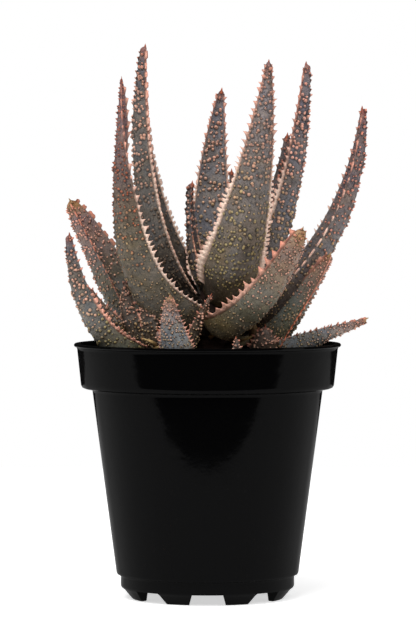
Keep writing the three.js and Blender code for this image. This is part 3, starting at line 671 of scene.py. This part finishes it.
# Root, out, bow and tip of each leaf's curve, facing in degrees, width, thickness, taper and twist
MAIN = [
    Leaf("right_front_old", [4, -5, 113], [10, -25, 111], [27, -35, 124], [38.3, -34, 152.5], 315, 23,
         6.5, 0.42, look="old", teeth=(3.3, 3), band=(1.3, 0.6), cuts=("saw", "fang"), dry=0.1),
    Leaf("front_left", [1, -4, 113.5], [-40.5, -24, 121], [-32.4, -34, 171], [-34.6, -30, 213], 221,
         29.5, 9.5, 0.84, -26, look="front_left", teeth=(3, 2.8), band=(0.4, 0.2), cuts=("saw", "saw"),
         curl=-50, blunt=0.5),
    Leaf("front", [6, -5.6, 124.6], [10, -21, 130], [22.8, -30, 180], [24.8, -24, 220], 278, 26.5, 8,
         0.82, look="front", teeth=(2.2, 2), band=(1.2, 0.4), cuts=("block", "saw"), flare=1.35),
    Leaf("left_back", [0, 2, 120], [-17, 6, 136], [-30, 8, 175], [-25.7, 6, 227.4], 160, 26.5, 10.5,
         0.73, 28, look="left_back", teeth=(2.4, 2.2), band=(0.6, 0.4), cuts=("block", "block"),
         spiny=0.16),
    Leaf("right", [8, 0, 120], [26.2, -3, 134], [37.2, -11, 175], [40.2, -12, 219.6], 342, 17, 7.5, 0.62,
         look="right", teeth=(2.7, 2), band=(1.2, 0.4), cuts=("block", "saw")),
    Leaf("right_long", [8, 2, 112], [38, 8, 124], [62.5, 14, 160], [64.1, 13, 202], 18, 25.5, 9, 0.64,
         -10, look="right_long", teeth=(5.8, 1.8), band=(0, 0.1), cuts=("dash", "saw"),
         far_margin=((2.4, 2.1), (0, 0.1), ("thorn", "thorn"))),
    Leaf("back_centre", [3, 2, 124], [1, 14, 140], [-0.2, 17, 172], [5.9, 17, 209.7], 100, 22.5, 7.5,
         0.73, look="back_centre", teeth=(2.4, 1.7), band=(0.8, 0.3), cuts=("block", "saw")),
    Leaf("centre_young", [2, 1, 126], [-6.2, 3, 138], [-7.6, 4, 155], [-6.3, 3, 171], 162, 12.6, 4.4,
         slot="young_leaf"),
    Leaf("right_back_young", [7, 3, 124], [20, 13, 132], [29, 18, 160], [33.2, 17, 191], 45, 16, 6, 0.8,
         look="shade", slot="young_leaf", teeth=(2.2, 1.2), band=(0.1, 0)),
    Leaf("back_tip", [5, 3, 126], [8, 12, 138], [11, 13, 158], [10, 12, 176], 70, 11.4, 4.2,
         slot="young_leaf"),
    Leaf("back", [5, 4, 118], [10, 24, 126], [20, 38, 150], [18, 36, 173], 72, 22, 7, look="left_back"),
    Leaf("back_left", [2, 4, 116], [-10, 20, 124], [-26, 32, 140], [-27, 32, 168], 135, 20, 7,
         look="left_back"),
    Leaf("back_right", [7, 3, 111], [26, 18, 115], [44, 32, 130], [49, 34, 149], 38, 19, 6.5,
         look="right"),
    Leaf("back_mid", [3.5, 4, 111.5], [2, 24, 118], [3, 40, 136], [4, 42, 156], 95, 20, 6.5,
         look="right"),
    Leaf("back_low_left", [1, 4, 107], [-18, 20, 110], [-38, 26, 128], [-50, 28, 148], 142, 18, 6,
         look="left_long"),
    Leaf("back_low_mid", [3, 5, 106], [0, 30, 106], [-6, 50, 114], [-5, 58, 127], 98, 17, 6, 0.6,
         look="left_long"),
    Leaf("back_low_right", [7, 4, 106], [14, 26, 106], [22, 44, 113], [25, 52, 129], 66, 17, 6, 0.6,
         look="old"),
]

DARK_YOUNG = {"look": "dark", "slot": "young_leaf"}
OFFSETS = [
    Leaf("offset_left_long", [-22.7, -10.3, 101.7], [-42.7, -14, 102], [-53.6, -18, 123],
         [-56.2, -17, 150], 207, 19, 7, 0.7, look="left_long", teeth=(2.5, 1.7), band=(0.5, 0.1),
         cuts=("block", "thorn")),
    Leaf("offset_left_old", [-22, -4, 103], [-31, 5, 117], [-42.6, 12, 142], [-57.1, 14, 163.8], 149,
         24.5, 10.5, 0.42, look="left_old", teeth=(3.2, 1.9), band=(0.2, 0.1), cuts=("saw", "block"),
         dry=0.08),
    Leaf("offset_left_inner", [-24, -10, 104], [-30, -13, 108], [-34, -15, 120], [-32.5, -14, 131], 215,
         15, 5.5, 0.75, teeth=(2, 1.5), **DARK_YOUNG),
    Leaf("offset_left_near", [-22, -12, 103], [-20, -17, 106], [-22.5, -18, 116], [-28.3, -15, 127], 288,
         13, 5, 0.7, teeth=(2, 1.5), **DARK_YOUNG),
    Leaf("offset_left_outer", [-25, -9, 102], [-34, -7, 106], [-43, -4, 116], [-48.4, -3, 127.5], 228,
         16, 5.5, 0.8, **DARK_YOUNG),
    Leaf("offset_left_back", [-21, -7, 102.5], [-17, 2, 105], [-18, 8, 112], [-18, 9, 124], 82, 11.6,
         4.4, **DARK_YOUNG),
    Leaf("offset_front_upright", [-11, -22, 100], [-13.5, -28, 104], [-15.6, -30, 115],
         [-15.2, -27, 125.2], 262, 14, 4.2, 0.55, teeth=(1.8, 1.5), band=(0.3, 0.1), dry=0.12,
         look="blue", slot="young_leaf"),
    Leaf("offset_front_dark", [-9, -21, 101], [-7, -23, 107], [-4, -25, 116], [1.4, -25, 125.5], 330,
         7.8, 3.3, 0.75, teeth=(1.8, 1.4), band=(0.2, 0.1), **DARK_YOUNG),
    Leaf("offset_front_left", [-12, -21, 100], [-15, -22, 102], [-18.5, -23, 105], [-20, -23, 111], 205,
         8, 3.2, 0.7, teeth=(1.9, 1), band=(0.25, 0.1), look="blue", slot="young_leaf"),
    Leaf("offset_right_rising", [25, -3, 102], [25.5, -5, 108], [37.5, -4, 119], [50.6, 0, 141.7], 47,
         18, 5.5, 0.6, look="rising", teeth=(2.6, 1.5), band=(0.7, 0.8), cuts=("block", "saw"),
         dry=0.05),
    Leaf("offset_right_low", [27, -4, 103], [37, -9, 107.5], [52, -11, 111.5], [65, -13, 115.6], 345, 14,
         7.2, 0.72, look="blue", teeth=(2.8, 2.4), band=(0, 0), cuts=("thorn", "thorn"), dry=0.03),
    Leaf("offset_right_stub", [25, -4, 102], [23, -11, 101.5], [23, -17, 106], [23.5, -18, 112.5], 280,
         15, 5.5, 0.5, **DARK_YOUNG),
    Leaf("offset_right_back", [26, -2, 103], [29, 10, 104], [32, 19, 109], [33, 24, 119], 70, 12, 4.5,
         0.7, **DARK_YOUNG),
    Leaf("seedling", [12, -33, 98], [12, -35, 101], [12, -37, 104], [11.5, -37, 108.5], 270, 6, 2.8, 0.6,
         teeth=(1.6, 0.9), band=(0.2, 0.1), **DARK_YOUNG),
]


# Materials

class Nodes:
    """The node tree of a material or of the world, built one node at a time."""

    def __init__(self, owner):
        self.owner = owner
        owner.use_nodes = True
        self.tree = owner.node_tree
        self.tree.nodes.clear()

    def add(self, kind, inputs=None, **settings):
        node = self.tree.nodes.new(kind)
        for key, value in settings.items():
            setattr(node, key, value)
        for key, value in (inputs or {}).items():
            if isinstance(value, bpy.types.NodeSocket):
                self.tree.links.new(value, node.inputs[key])
            else:
                node.inputs[key].default_value = value
        return node

    def attribute(self, name, output="Color"):
        return self.add("ShaderNodeAttribute", attribute_name=name).outputs[output]

    def place(self):
        return self.add("ShaderNodeTexCoord").outputs["Object"]

    def noise(self, size_mm, detail=2, rough=0.5, warp=0):
        inputs = {"Vector": self.place(), "Scale": 1 / (size_mm * MM), "Detail": detail,
                  "Roughness": rough, "Distortion": warp}
        return self.add("ShaderNodeTexNoise", inputs).outputs["Fac"]

    def spread(self, value, low, high, to_low, to_high):
        inputs = {"Value": value, "From Min": low, "From Max": high, "To Min": to_low, "To Max": to_high}
        return self.add("ShaderNodeMapRange", inputs).outputs["Result"]

    def blend(self, share, first, second, mode="MIX"):
        inputs = {"Factor": share, 6: first, 7: second}
        return self.add("ShaderNodeMix", inputs, data_type="RGBA", blend_type=mode).outputs[2]

    def times(self, first, second):
        return self.add("ShaderNodeMath", {0: first, 1: second}, operation="MULTIPLY").outputs[0]

    def shaded(self, colour, tone):
        """The colour times a tone that is 1 on the whole."""
        grey = self.add("ShaderNodeCombineColor", {0: tone, 1: tone, 2: tone}).outputs[0]
        return self.blend(1, colour, grey, "MULTIPLY")

    def bump(self, height, strength, deep_mm):
        inputs = {"Height": height, "Strength": strength, "Distance": deep_mm * MM}
        return self.add("ShaderNodeBump", inputs).outputs[0]

    def principled(self, colour, rough, normal, specular, others=None):
        inputs = {"Base Color": colour, "Roughness": rough, "Normal": normal,
                  "Specular IOR Level": specular, **(others or {})}
        return self.add("ShaderNodeBsdfPrincipled", inputs)

    def finish(self, shader):
        self.add("ShaderNodeOutputMaterial", {"Surface": shader.outputs[0]})
        return self.owner


def rgba(colour):
    return (*[float(v) for v in colour], 1)


HUES = ((0.91, 0.96, 1.08, 1), (1.14, 1.03, 0.88, 1))
PALE_FLECKS = rgba(srgb(156, 136, 114))
DARK_FLECKS = rgba(srgb(34, 27, 24))
BLOOM = rgba(srgb(126, 126, 130))
POT_BLACK = rgba((0.0011, 0.0011, 0.0012))
POT_DUST = rgba((0.03, 0.028, 0.026))
POT_DULL = rgba((0.003, 0.003, 0.003))


def leaf_material():
    m = Nodes(bpy.data.materials.new("leaf_skin"))
    hue = m.spread(m.noise(8, 3, 0.6, 0.5), 0.35, 0.65, 0, 1)
    bare = m.blend(1, m.attribute("skin"), m.blend(hue, *HUES), "MULTIPLY")
    patches = m.spread(m.noise(3.2, 3, 0.65), 0.3, 0.7, 0.74, 1.28)
    grain = m.spread(m.noise(0.45, 3, 0.7), 0.32, 0.68, 0.58, 1.48)
    bare = m.shaded(bare, m.times(patches, grain))
    pale = m.spread(m.noise(1.3, 2, 0.6), 0.56, 0.64, 0, 0.36)
    bare = m.blend(pale, bare, PALE_FLECKS)
    dark = m.spread(m.noise(1, 2, 0.6, 0.4), 0.36, 0.44, 0.58, 0)
    bare = m.blend(dark, bare, DARK_FLECKS)
    bloom = m.spread(m.noise(14, 2, 0.5), 0.45, 0.75, 0, 0.35)
    bare = m.blend(bloom, bare, BLOOM)
    lit = m.spread(m.noise(0.9, 2, 0.6), 0.3, 0.7, 0.72, 1.28)
    grown = m.shaded(m.attribute("growth"), lit)
    colour = m.blend(m.attribute("mask", "Fac"), bare, grown)
    rough = m.spread(m.noise(2.2, 3, 0.6), 0.3, 0.7, 0.4, 0.6)
    bump = m.bump(m.noise(0.5, 3, 0.65), 0.6, 0.25)
    flesh = {"Subsurface Weight": 0.05, "Subsurface Radius": (1, 0.45, 0.3), "Subsurface Scale": 0.001}
    return m.finish(m.principled(colour, rough, bump, 0.36, flesh))


def pot_material():
    """Glossy black plastic, dull where it is seen at a low angle."""
    m = Nodes(bpy.data.materials.new("pot_plastic"))
    scuff = m.spread(m.noise(1.6, 4, 0.7, 0.6), 0.62, 0.74, 0, 1)
    patchy = m.spread(m.noise(28, 2, 0.5), 0.45, 0.65, 0, 0.12)
    colour = m.blend(m.times(scuff, patchy), POT_BLACK, POT_DUST)
    rough = m.spread(m.noise(9, 3, 0.55), 0.3, 0.7, 0.07, 0.12)
    glossy = m.principled(colour, rough, m.bump(m.noise(6, 2, 0.5), 0.12, 0.4), 0.04)
    dull = m.add("ShaderNodeBsdfDiffuse", {"Color": POT_DULL})
    facing = m.add("ShaderNodeLayerWeight", {"Blend": 0.5}).outputs["Facing"]
    edge = m.spread(facing, 0.2, 0.7, 0, 0.75)
    shaders = {0: edge, 1: glossy.outputs[0], 2: dull.outputs[0]}
    return m.finish(m.add("ShaderNodeMixShader", shaders))


def soil_material():
    m = Nodes(bpy.data.materials.new("soil_mix"))
    tone = m.spread(m.noise(1.2, 4, 0.7), 0.3, 0.7, 0.5, 1.5)
    colour = m.shaded(m.attribute("growth"), tone)
    return m.finish(m.principled(colour, 0.92, m.bump(m.noise(0.8, 4, 0.7), 0.8, 0.6), 0.2))


def stem_material():
    m = Nodes(bpy.data.materials.new("stem_bark"))
    stretched = m.add("ShaderNodeMapping", {"Vector": m.place(), "Scale": (1, 1, 0.16)}).outputs[0]
    inputs = {"Vector": stretched, "Scale": 1600, "Detail": 3}
    fibre = m.add("ShaderNodeTexNoise", inputs).outputs["Fac"]
    patches = m.spread(m.noise(3, 3), 0.3, 0.7, 0.7, 1.3)
    tone = m.times(m.spread(fibre, 0.3, 0.7, 0.6, 1.4), patches)
    colour = m.shaded(m.attribute("growth"), tone)
    return m.finish(m.principled(colour, 0.75, m.bump(fibre, 0.6, 0.3), 0.25))


def settle(piece, node):
    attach(piece, "root")
    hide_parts(node)


def make_leaves():
    material = leaf_material()
    for index, leaf in enumerate(MAIN + OFFSETS):
        rng = np.random.default_rng(SEED + index)
        leaf.set_waves(SKIN_WAVES, rng)
        build = Build()
        leaf_body(build, leaf)
        leaf_warts(build, leaf, rng)
        leaf_margin(build, leaf, rng, 1)
        leaf_margin(build, leaf, rng, -1)
        leaf_spine(build, leaf, rng)
        node = "leaf_" + leaf.name
        settle(build.piece(node + "_detailed", material), node)


# Pot

POT_SIDES = 144
LONG_STRETCH = 3
EDGE_STEP = 0.5
WALL_STEP = 12
# Half the pot's section, as (radius, height)
POT_PROFILE = [
    (0, 4.8), (28.4, 4.8), (28.8, 4.4), (28.8, 0.3), (29.1, 0), (31.4, 0), (31.8, 0.35),
    (34.7, 3.9), (35.5, 4.5), (35.8, 5.2), (35.8, 9.1), (36.1, 9.6), (37.2, 9.9), (37.55, 10.4),
    (47.4, 85.4), (47.8, 86.1), (50.6, 86.5), (51.6, 86.9), (52.1, 87.8), (52.2, 88.6),
    (53.7, 102.8), (54, 103.4), (54.7, 103.7), (55, 104.1), (54.95, 104.6), (54.6, 104.95),
    (54, 105), (52.9, 104.95), (52.5, 104.6), (52.3, 102.5), (50.8, 88.6), (50.2, 87.6),
    (46.4, 86.8), (46, 86.2), (35.5, 8.4), (34.3, 6.8), (32.5, 6.2), (0, 6.2),
]
NOTCH_COUNT = 8
# A notch in the foot ring, as half its width and its height, at its lower and its upper side
NOTCH_SIDES = [(7.9, -2), (6.3, 4.5)]
NOTCH_REACH = (-40, -23)
HOLE_COUNT = 4
HOLE_TURN = 45
HOLE_PLACE = 19
HOLE_RADIUS = 4
HOLE_SIDES = 24
HOLE_HEIGHTS = (2, 9)


def stepped(profile):
    """The outline with more points along its long stretches, so that flat walls shade flat."""
    rows = [profile[0]]
    for start, end in zip(profile, profile[1:]):
        length = math.dist(start, end)
        if length > LONG_STRETCH and start[0] > 0 and end[0] > 0:
            near = EDGE_STEP / length
            inside = np.linspace(near, 1 - near, round(length / WALL_STEP) + 2)[1:-1]
            shares = [near, *inside, 1 - near]
            rows += [(mix(start[0], end[0], t), mix(start[1], end[1], t)) for t in shares]
        rows.append(end)
    return rows


def ring_of(radius, height, angles):
    """A ring of points, with one height or one for each point."""
    heights = np.broadcast_to(height, angles.shape)
    return np.stack([radius * np.cos(angles), radius * np.sin(angles), heights], -1)


def cutter(name, bodies):
    """One mesh of closed convex bodies, each given as its lower and its upper outline."""
    mesh = bmesh.new()
    for outlines in bodies:
        below, above = [[mesh.verts.new(p) for p in np.array(outline) * MM + POT_AXIS]
                        for outline in outlines]
        mesh.faces.new(below[::-1])
        mesh.faces.new(above)
        for k in range(len(below)):
            after = (k + 1) % len(below)
            mesh.faces.new([below[k], below[after], above[after], above[k]])
    data = bpy.data.meshes.new(name)
    mesh.to_mesh(data)
    mesh.free()
    return add_object(name, data)


def notch(angle):
    """The lower and the upper outline of one notch, turned round the pot's axis."""
    c, s = math.cos(angle), math.sin(angle)
    front, back = NOTCH_REACH
    outlines = []
    for half, z in NOTCH_SIDES:
        corners = [(-half, front), (half, front), (half, back), (-half, back)]
        outlines.append([(x * c - y * s, x * s + y * c, z) for x, y in corners])
    return outlines


def drain_hole(angle):
    x, y = HOLE_PLACE * math.cos(angle), HOLE_PLACE * math.sin(angle)
    ring = [(x + HOLE_RADIUS * math.cos(a), y + HOLE_RADIUS * math.sin(a))
            for a in round_angles(HOLE_SIDES)]
    return [[(*point, z) for point in ring] for z in HOLE_HEIGHTS]


def make_pot():
    rows = stepped(POT_PROFILE)
    angles = round_angles(POT_SIDES)
    rings = [ring_of(radius, height, angles) for radius, height in rows[1:-1]]
    points, faces = closed_tube(rings, POT_SIDES, [0, 0, rows[0][1]], [0, 0, rows[-1][1]])
    build = Build()
    build.add(points, faces, 0, 0, 0)
    piece = build.piece("pot_detailed", pot_material())
    bodies = [notch(angle) for angle in round_angles(NOTCH_COUNT)]
    bodies += [drain_hole(math.radians(HOLE_TURN + 360 / HOLE_COUNT * i)) for i in range(HOLE_COUNT)]
    knife = cutter("pot_knife", bodies)
    cut = piece.modifiers.new("notches", "BOOLEAN")
    cut.object, cut.operation, cut.solver = knife, "DIFFERENCE", "EXACT"
    bpy.context.view_layer.update()
    depsgraph = bpy.context.evaluated_depsgraph_get()
    cleaned = bpy.data.meshes.new_from_object(piece.evaluated_get(depsgraph))
    piece.modifiers.clear()
    piece.data = cleaned
    bpy.data.objects.remove(knife)
    for polygon in cleaned.polygons:
        polygon.use_smooth = True
    cleaned.set_sharp_from_angle(angle=math.radians(32))
    settle(piece, "pot")


# Soil

SOIL_FLOOR = 6.6
SOIL_PROFILE = [(30.8, 6.6), (34.8, 10.6), (45, 87.3), (49.4, 90), (49.7, 93.5)]
SOIL_RADIUS = 49.7
SOIL_EDGE = 93.8
SOIL_MOUND = 3
SOIL_SIDES = 120
SOIL_RINGS = 36
SOIL_NOISE = 0.25
# Dark brown soil, darkened further as painted shade in the hollow under the leaves
SOIL_DARK = srgb(30, 18, 12)
SOIL_BARK = srgb(78, 46, 28)
SOIL_GRIT = srgb(136, 114, 90)
GRAINS = 1500
GRAINS_WITHIN = 0.97
BARK_CHANCE = 0.9
GRAIN_RISE = 0.15


def soil_height(x, y):
    """A low mound with small bumps that fade towards the pot's wall."""
    share = np.hypot(x, y) / SOIL_RADIUS
    bumps = 0.5 * np.sin(x * 0.55 + 1) * np.cos(y * 0.5)
    bumps = bumps + 0.35 * np.sin(x * 1.2 - y * 0.9) + 0.25 * np.sin(y * 1.9 + x)
    return SOIL_EDGE + SOIL_MOUND * (1 - share ** 2) + bumps * (1 - share ** 6)


def make_soil():
    rng = np.random.default_rng(SEED + 100)
    build = Build()
    angles = round_angles(SOIL_SIDES)
    rings = [ring_of(radius, height, angles) for radius, height in SOIL_PROFILE]
    for i in range(1, SOIL_RINGS):
        radius = SOIL_RADIUS * (1 - i / SOIL_RINGS)
        height = soil_height(radius * np.cos(angles), radius * np.sin(angles))
        rings.append(ring_of(radius, height + rng.normal(0, SOIL_NOISE, SOIL_SIDES), angles))
    points, faces = closed_tube(rings, SOIL_SIDES, [0, 0, SOIL_FLOOR], [0, 0, soil_height(0, 0)])
    build.add(points, faces, SOIL_DARK, SOIL_DARK, 1)
    stone = bmesh.new()
    bmesh.ops.create_icosphere(stone, subdivisions=1, radius=1)
    shape = np.array([v.co for v in stone.verts])
    sides = np.array([[v.index for v in face.verts] for face in stone.faces])
    stone.free()
    for _ in range(GRAINS):
        reach = SOIL_RADIUS * GRAINS_WITHIN * math.sqrt(rng.random())
        angle = rng.uniform(0, 2 * np.pi)
        x, y = reach * math.cos(angle), reach * math.sin(angle)
        size = rng.uniform(0.5, 1.6)
        turn = np.linalg.qr(rng.normal(size=(3, 3)))[0]
        axes = turn * (size * rng.uniform(0.45, 1.25, 3))
        grain = (shape * rng.uniform(0.75, 1.15, (len(shape), 1))) @ axes
        is_bark = rng.random() < BARK_CHANCE
        tone = mix(SOIL_DARK, SOIL_BARK, rng.random()) if is_bark else SOIL_GRIT
        place = [x, y, soil_height(x, y) + size * GRAIN_RISE]
        build.add(grain + place, [sides], tone, tone, 1)
    settle(build.piece("soil_detailed", soil_material(), smooth=False), "soil")


# Stems, with the papery feet of old leaves and two young leaves

# Place of each stem's axis, its radius and its top
STEMS = {
    "stem_main": (4, 0, 7.5, 131),
    "stem_left": (-24, -10, 5, 108),
    "stem_front": (-10, -21, 3.6, 105),
    "stem_right": (26, -3, 5, 107),
    "stem_seedling": (12, -33, 2, 99.5),
}
STEM_FOOT = 84
STEM_SIDES = 40
STEM_RINGS = 44
STEM_FIT = 0.96
STEM_DOME = 0.8
STEM_TIP = 0.002
# Dark brown bark, darkened further as painted shade in the hollow under the leaves
BARK = srgb(36, 21, 14)
# Scales and bud leaves, each by the name of its stem
FLAKES = [
    Leaf("stem_main", [4, -4, 108], [6, -9, 109], [9, -13, 112], [15, -13, 113.6], 275, 3.4, 0.7,
         look="papery"),
    Leaf("stem_main", [2, -4, 107], [0, -9, 108], [3, -14, 109], [9, -15, 110.5], 265, 3, 0.7,
         look="papery"),
    Leaf("stem_main", [8, -3, 106], [13, -9, 106], [16, -13, 107], [19, -14, 109], 290, 4, 0.7,
         look="papery"),
    Leaf("stem_main", [3, 0, 122], [2, 0, 128], [2, 1, 134], [3, 1.5, 139.5], 200, 8, 3, 0.8),
    Leaf("stem_main", [5, 0, 122], [7, 0, 128], [7, 1, 134], [5.5, 0.5, 138], 20, 8, 3, 0.8),
    Leaf("stem_left", [-21, -12, 103], [-20, -19, 104], [-22, -22.5, 107], [-27, -22.5, 107.6], 285, 4.4,
         0.9, look="papery"),
    Leaf("stem_left", [-22, -12, 103], [-22, -18, 103], [-21, -22, 104], [-17.5, -22.5, 105.6], 265, 3.6,
         0.8, look="papery"),
    Leaf("stem_right", [24, -5, 103], [20, -7, 104], [18.5, -7, 109], [18.8, -6, 114.5], 268, 8, 1.6,
         0.6, look="husk"),
    Leaf("stem_right", [25, -6, 103], [22, -11, 103], [20, -11.5, 106], [21, -11, 110], 262, 5, 1.2, 0.6,
         look="husk"),
]


def stem_ring(x, y, radius, top, z, angles):
    """A ring with leaf scars up the stem and shallow furrows round it, closing to a dome."""
    close = min(1, math.sqrt(max(top - z, 0) / (radius * STEM_DOME) + STEM_TIP))
    scar = 0.06 * math.sin(z * 2.1) + 0.03 * math.sin(z * 5.3)
    wave = 1 + scar + 0.05 * np.sin(angles * 3 + z * 0.4) + 0.02 * np.sin(angles * 11 + z)
    return ring_of(radius * close * wave * STEM_FIT, z, angles) + [x, y, 0]


def make_stems():
    material = stem_material()
    angles = round_angles(STEM_SIDES)
    for index, (name, (x, y, radius, top)) in enumerate(STEMS.items()):
        rng = np.random.default_rng(SEED + 200 + index)
        build = Build()
        rings = [stem_ring(x, y, radius, top, z, angles)
                 for z in np.linspace(STEM_FOOT, top, STEM_RINGS)]
        points, faces = closed_tube(rings, STEM_SIDES, [x, y, STEM_FOOT], [x, y, top])
        build.add(points, faces, BARK, BARK, 1)
        for flake in [leaf for leaf in FLAKES if leaf.name == name]:
            flake.set_waves(FLAKE_WAVES, rng)
            leaf_body(build, flake)
        settle(build.piece(name + "_detailed", material), name)


# Studio

FLOOR_FRONT = -205
FLOOR_REACH = 700
FLOOR_DROP = 0.05
WHITE = (1, 1, 1, 1)
# Strength of the white surroundings: as the camera sees them, as light, and in reflections
WORLD_SEEN = 1
WORLD_LIGHT = 0.32
WORLD_REFLECTED = 0.03
# Place, size and power of each light. All point at LIGHT_TARGET.
LIGHTS = {
    "softbox_top": ((-250, -550, 1100), (700, 700), 10),
    "softbox_left": ((-1100, -250, 420), (500, 900), 1.8),
    "softbox_right": ((1100, -250, 420), (500, 900), 2.9),
    "softbox_front": ((0, -1500, 900), (1200, 500), 7),
}
LIGHT_TARGET = (0, 0, 130)


def make_floor():
    left, right, far = -FLOOR_REACH, FLOOR_REACH, FLOOR_REACH
    corners = [(left, FLOOR_FRONT), (right, FLOOR_FRONT), (right, far), (left, far)]
    mesh = bpy.data.meshes.new("floor")
    points = [(x * MM, y * MM, -FLOOR_DROP * MM) for x, y in corners]
    mesh.from_pydata(points, [], [(0, 1, 2, 3)])
    m = Nodes(bpy.data.materials.new("floor_paper"))
    diffuse = m.add("ShaderNodeBsdfDiffuse", {"Color": (0.92, 0.92, 0.92, 1)})
    glow = m.add("ShaderNodeEmission", {"Color": WHITE, "Strength": 0.6})
    both = m.add("ShaderNodeAddShader", {0: diffuse.outputs[0], 1: glow.outputs[0]})
    mesh.materials.append(m.finish(both))
    floor = add_object("floor", mesh)


def make_lights():
    for name, (place, size, power) in LIGHTS.items():
        data = bpy.data.lights.new(name, "AREA")
        data.shape = "RECTANGLE"
        data.size, data.size_y = size[0] * MM, size[1] * MM
        data.energy = power
        light = add_object(name, data)
        light.location = Vector(place) * MM
        toward = Vector(LIGHT_TARGET) - Vector(place)
        light.rotation_euler = toward.to_track_quat("-Z", "Y").to_euler()


def make_world():
    world = bpy.data.worlds.new("studio")
    bpy.context.scene.world = world
    m = Nodes(world)
    ray = m.add("ShaderNodeLightPath").outputs
    inputs = {0: ray["Is Glossy Ray"], 1: WORLD_REFLECTED - WORLD_LIGHT, 2: WORLD_LIGHT}
    lit = m.add("ShaderNodeMath", inputs, operation="MULTIPLY_ADD").outputs[0]
    strength = m.add("ShaderNodeMix", {0: ray["Is Camera Ray"], 2: lit, 3: WORLD_SEEN}).outputs[0]
    background = m.add("ShaderNodeBackground", {"Color": WHITE, "Strength": strength})
    m.add("ShaderNodeOutputWorld", {"Surface": background.outputs[0]})


make_leaves()
make_pot()
make_soil()
make_stems()
make_floor()
make_world()
make_lights()
bpy.context.scene.view_settings.view_transform = "Standard"
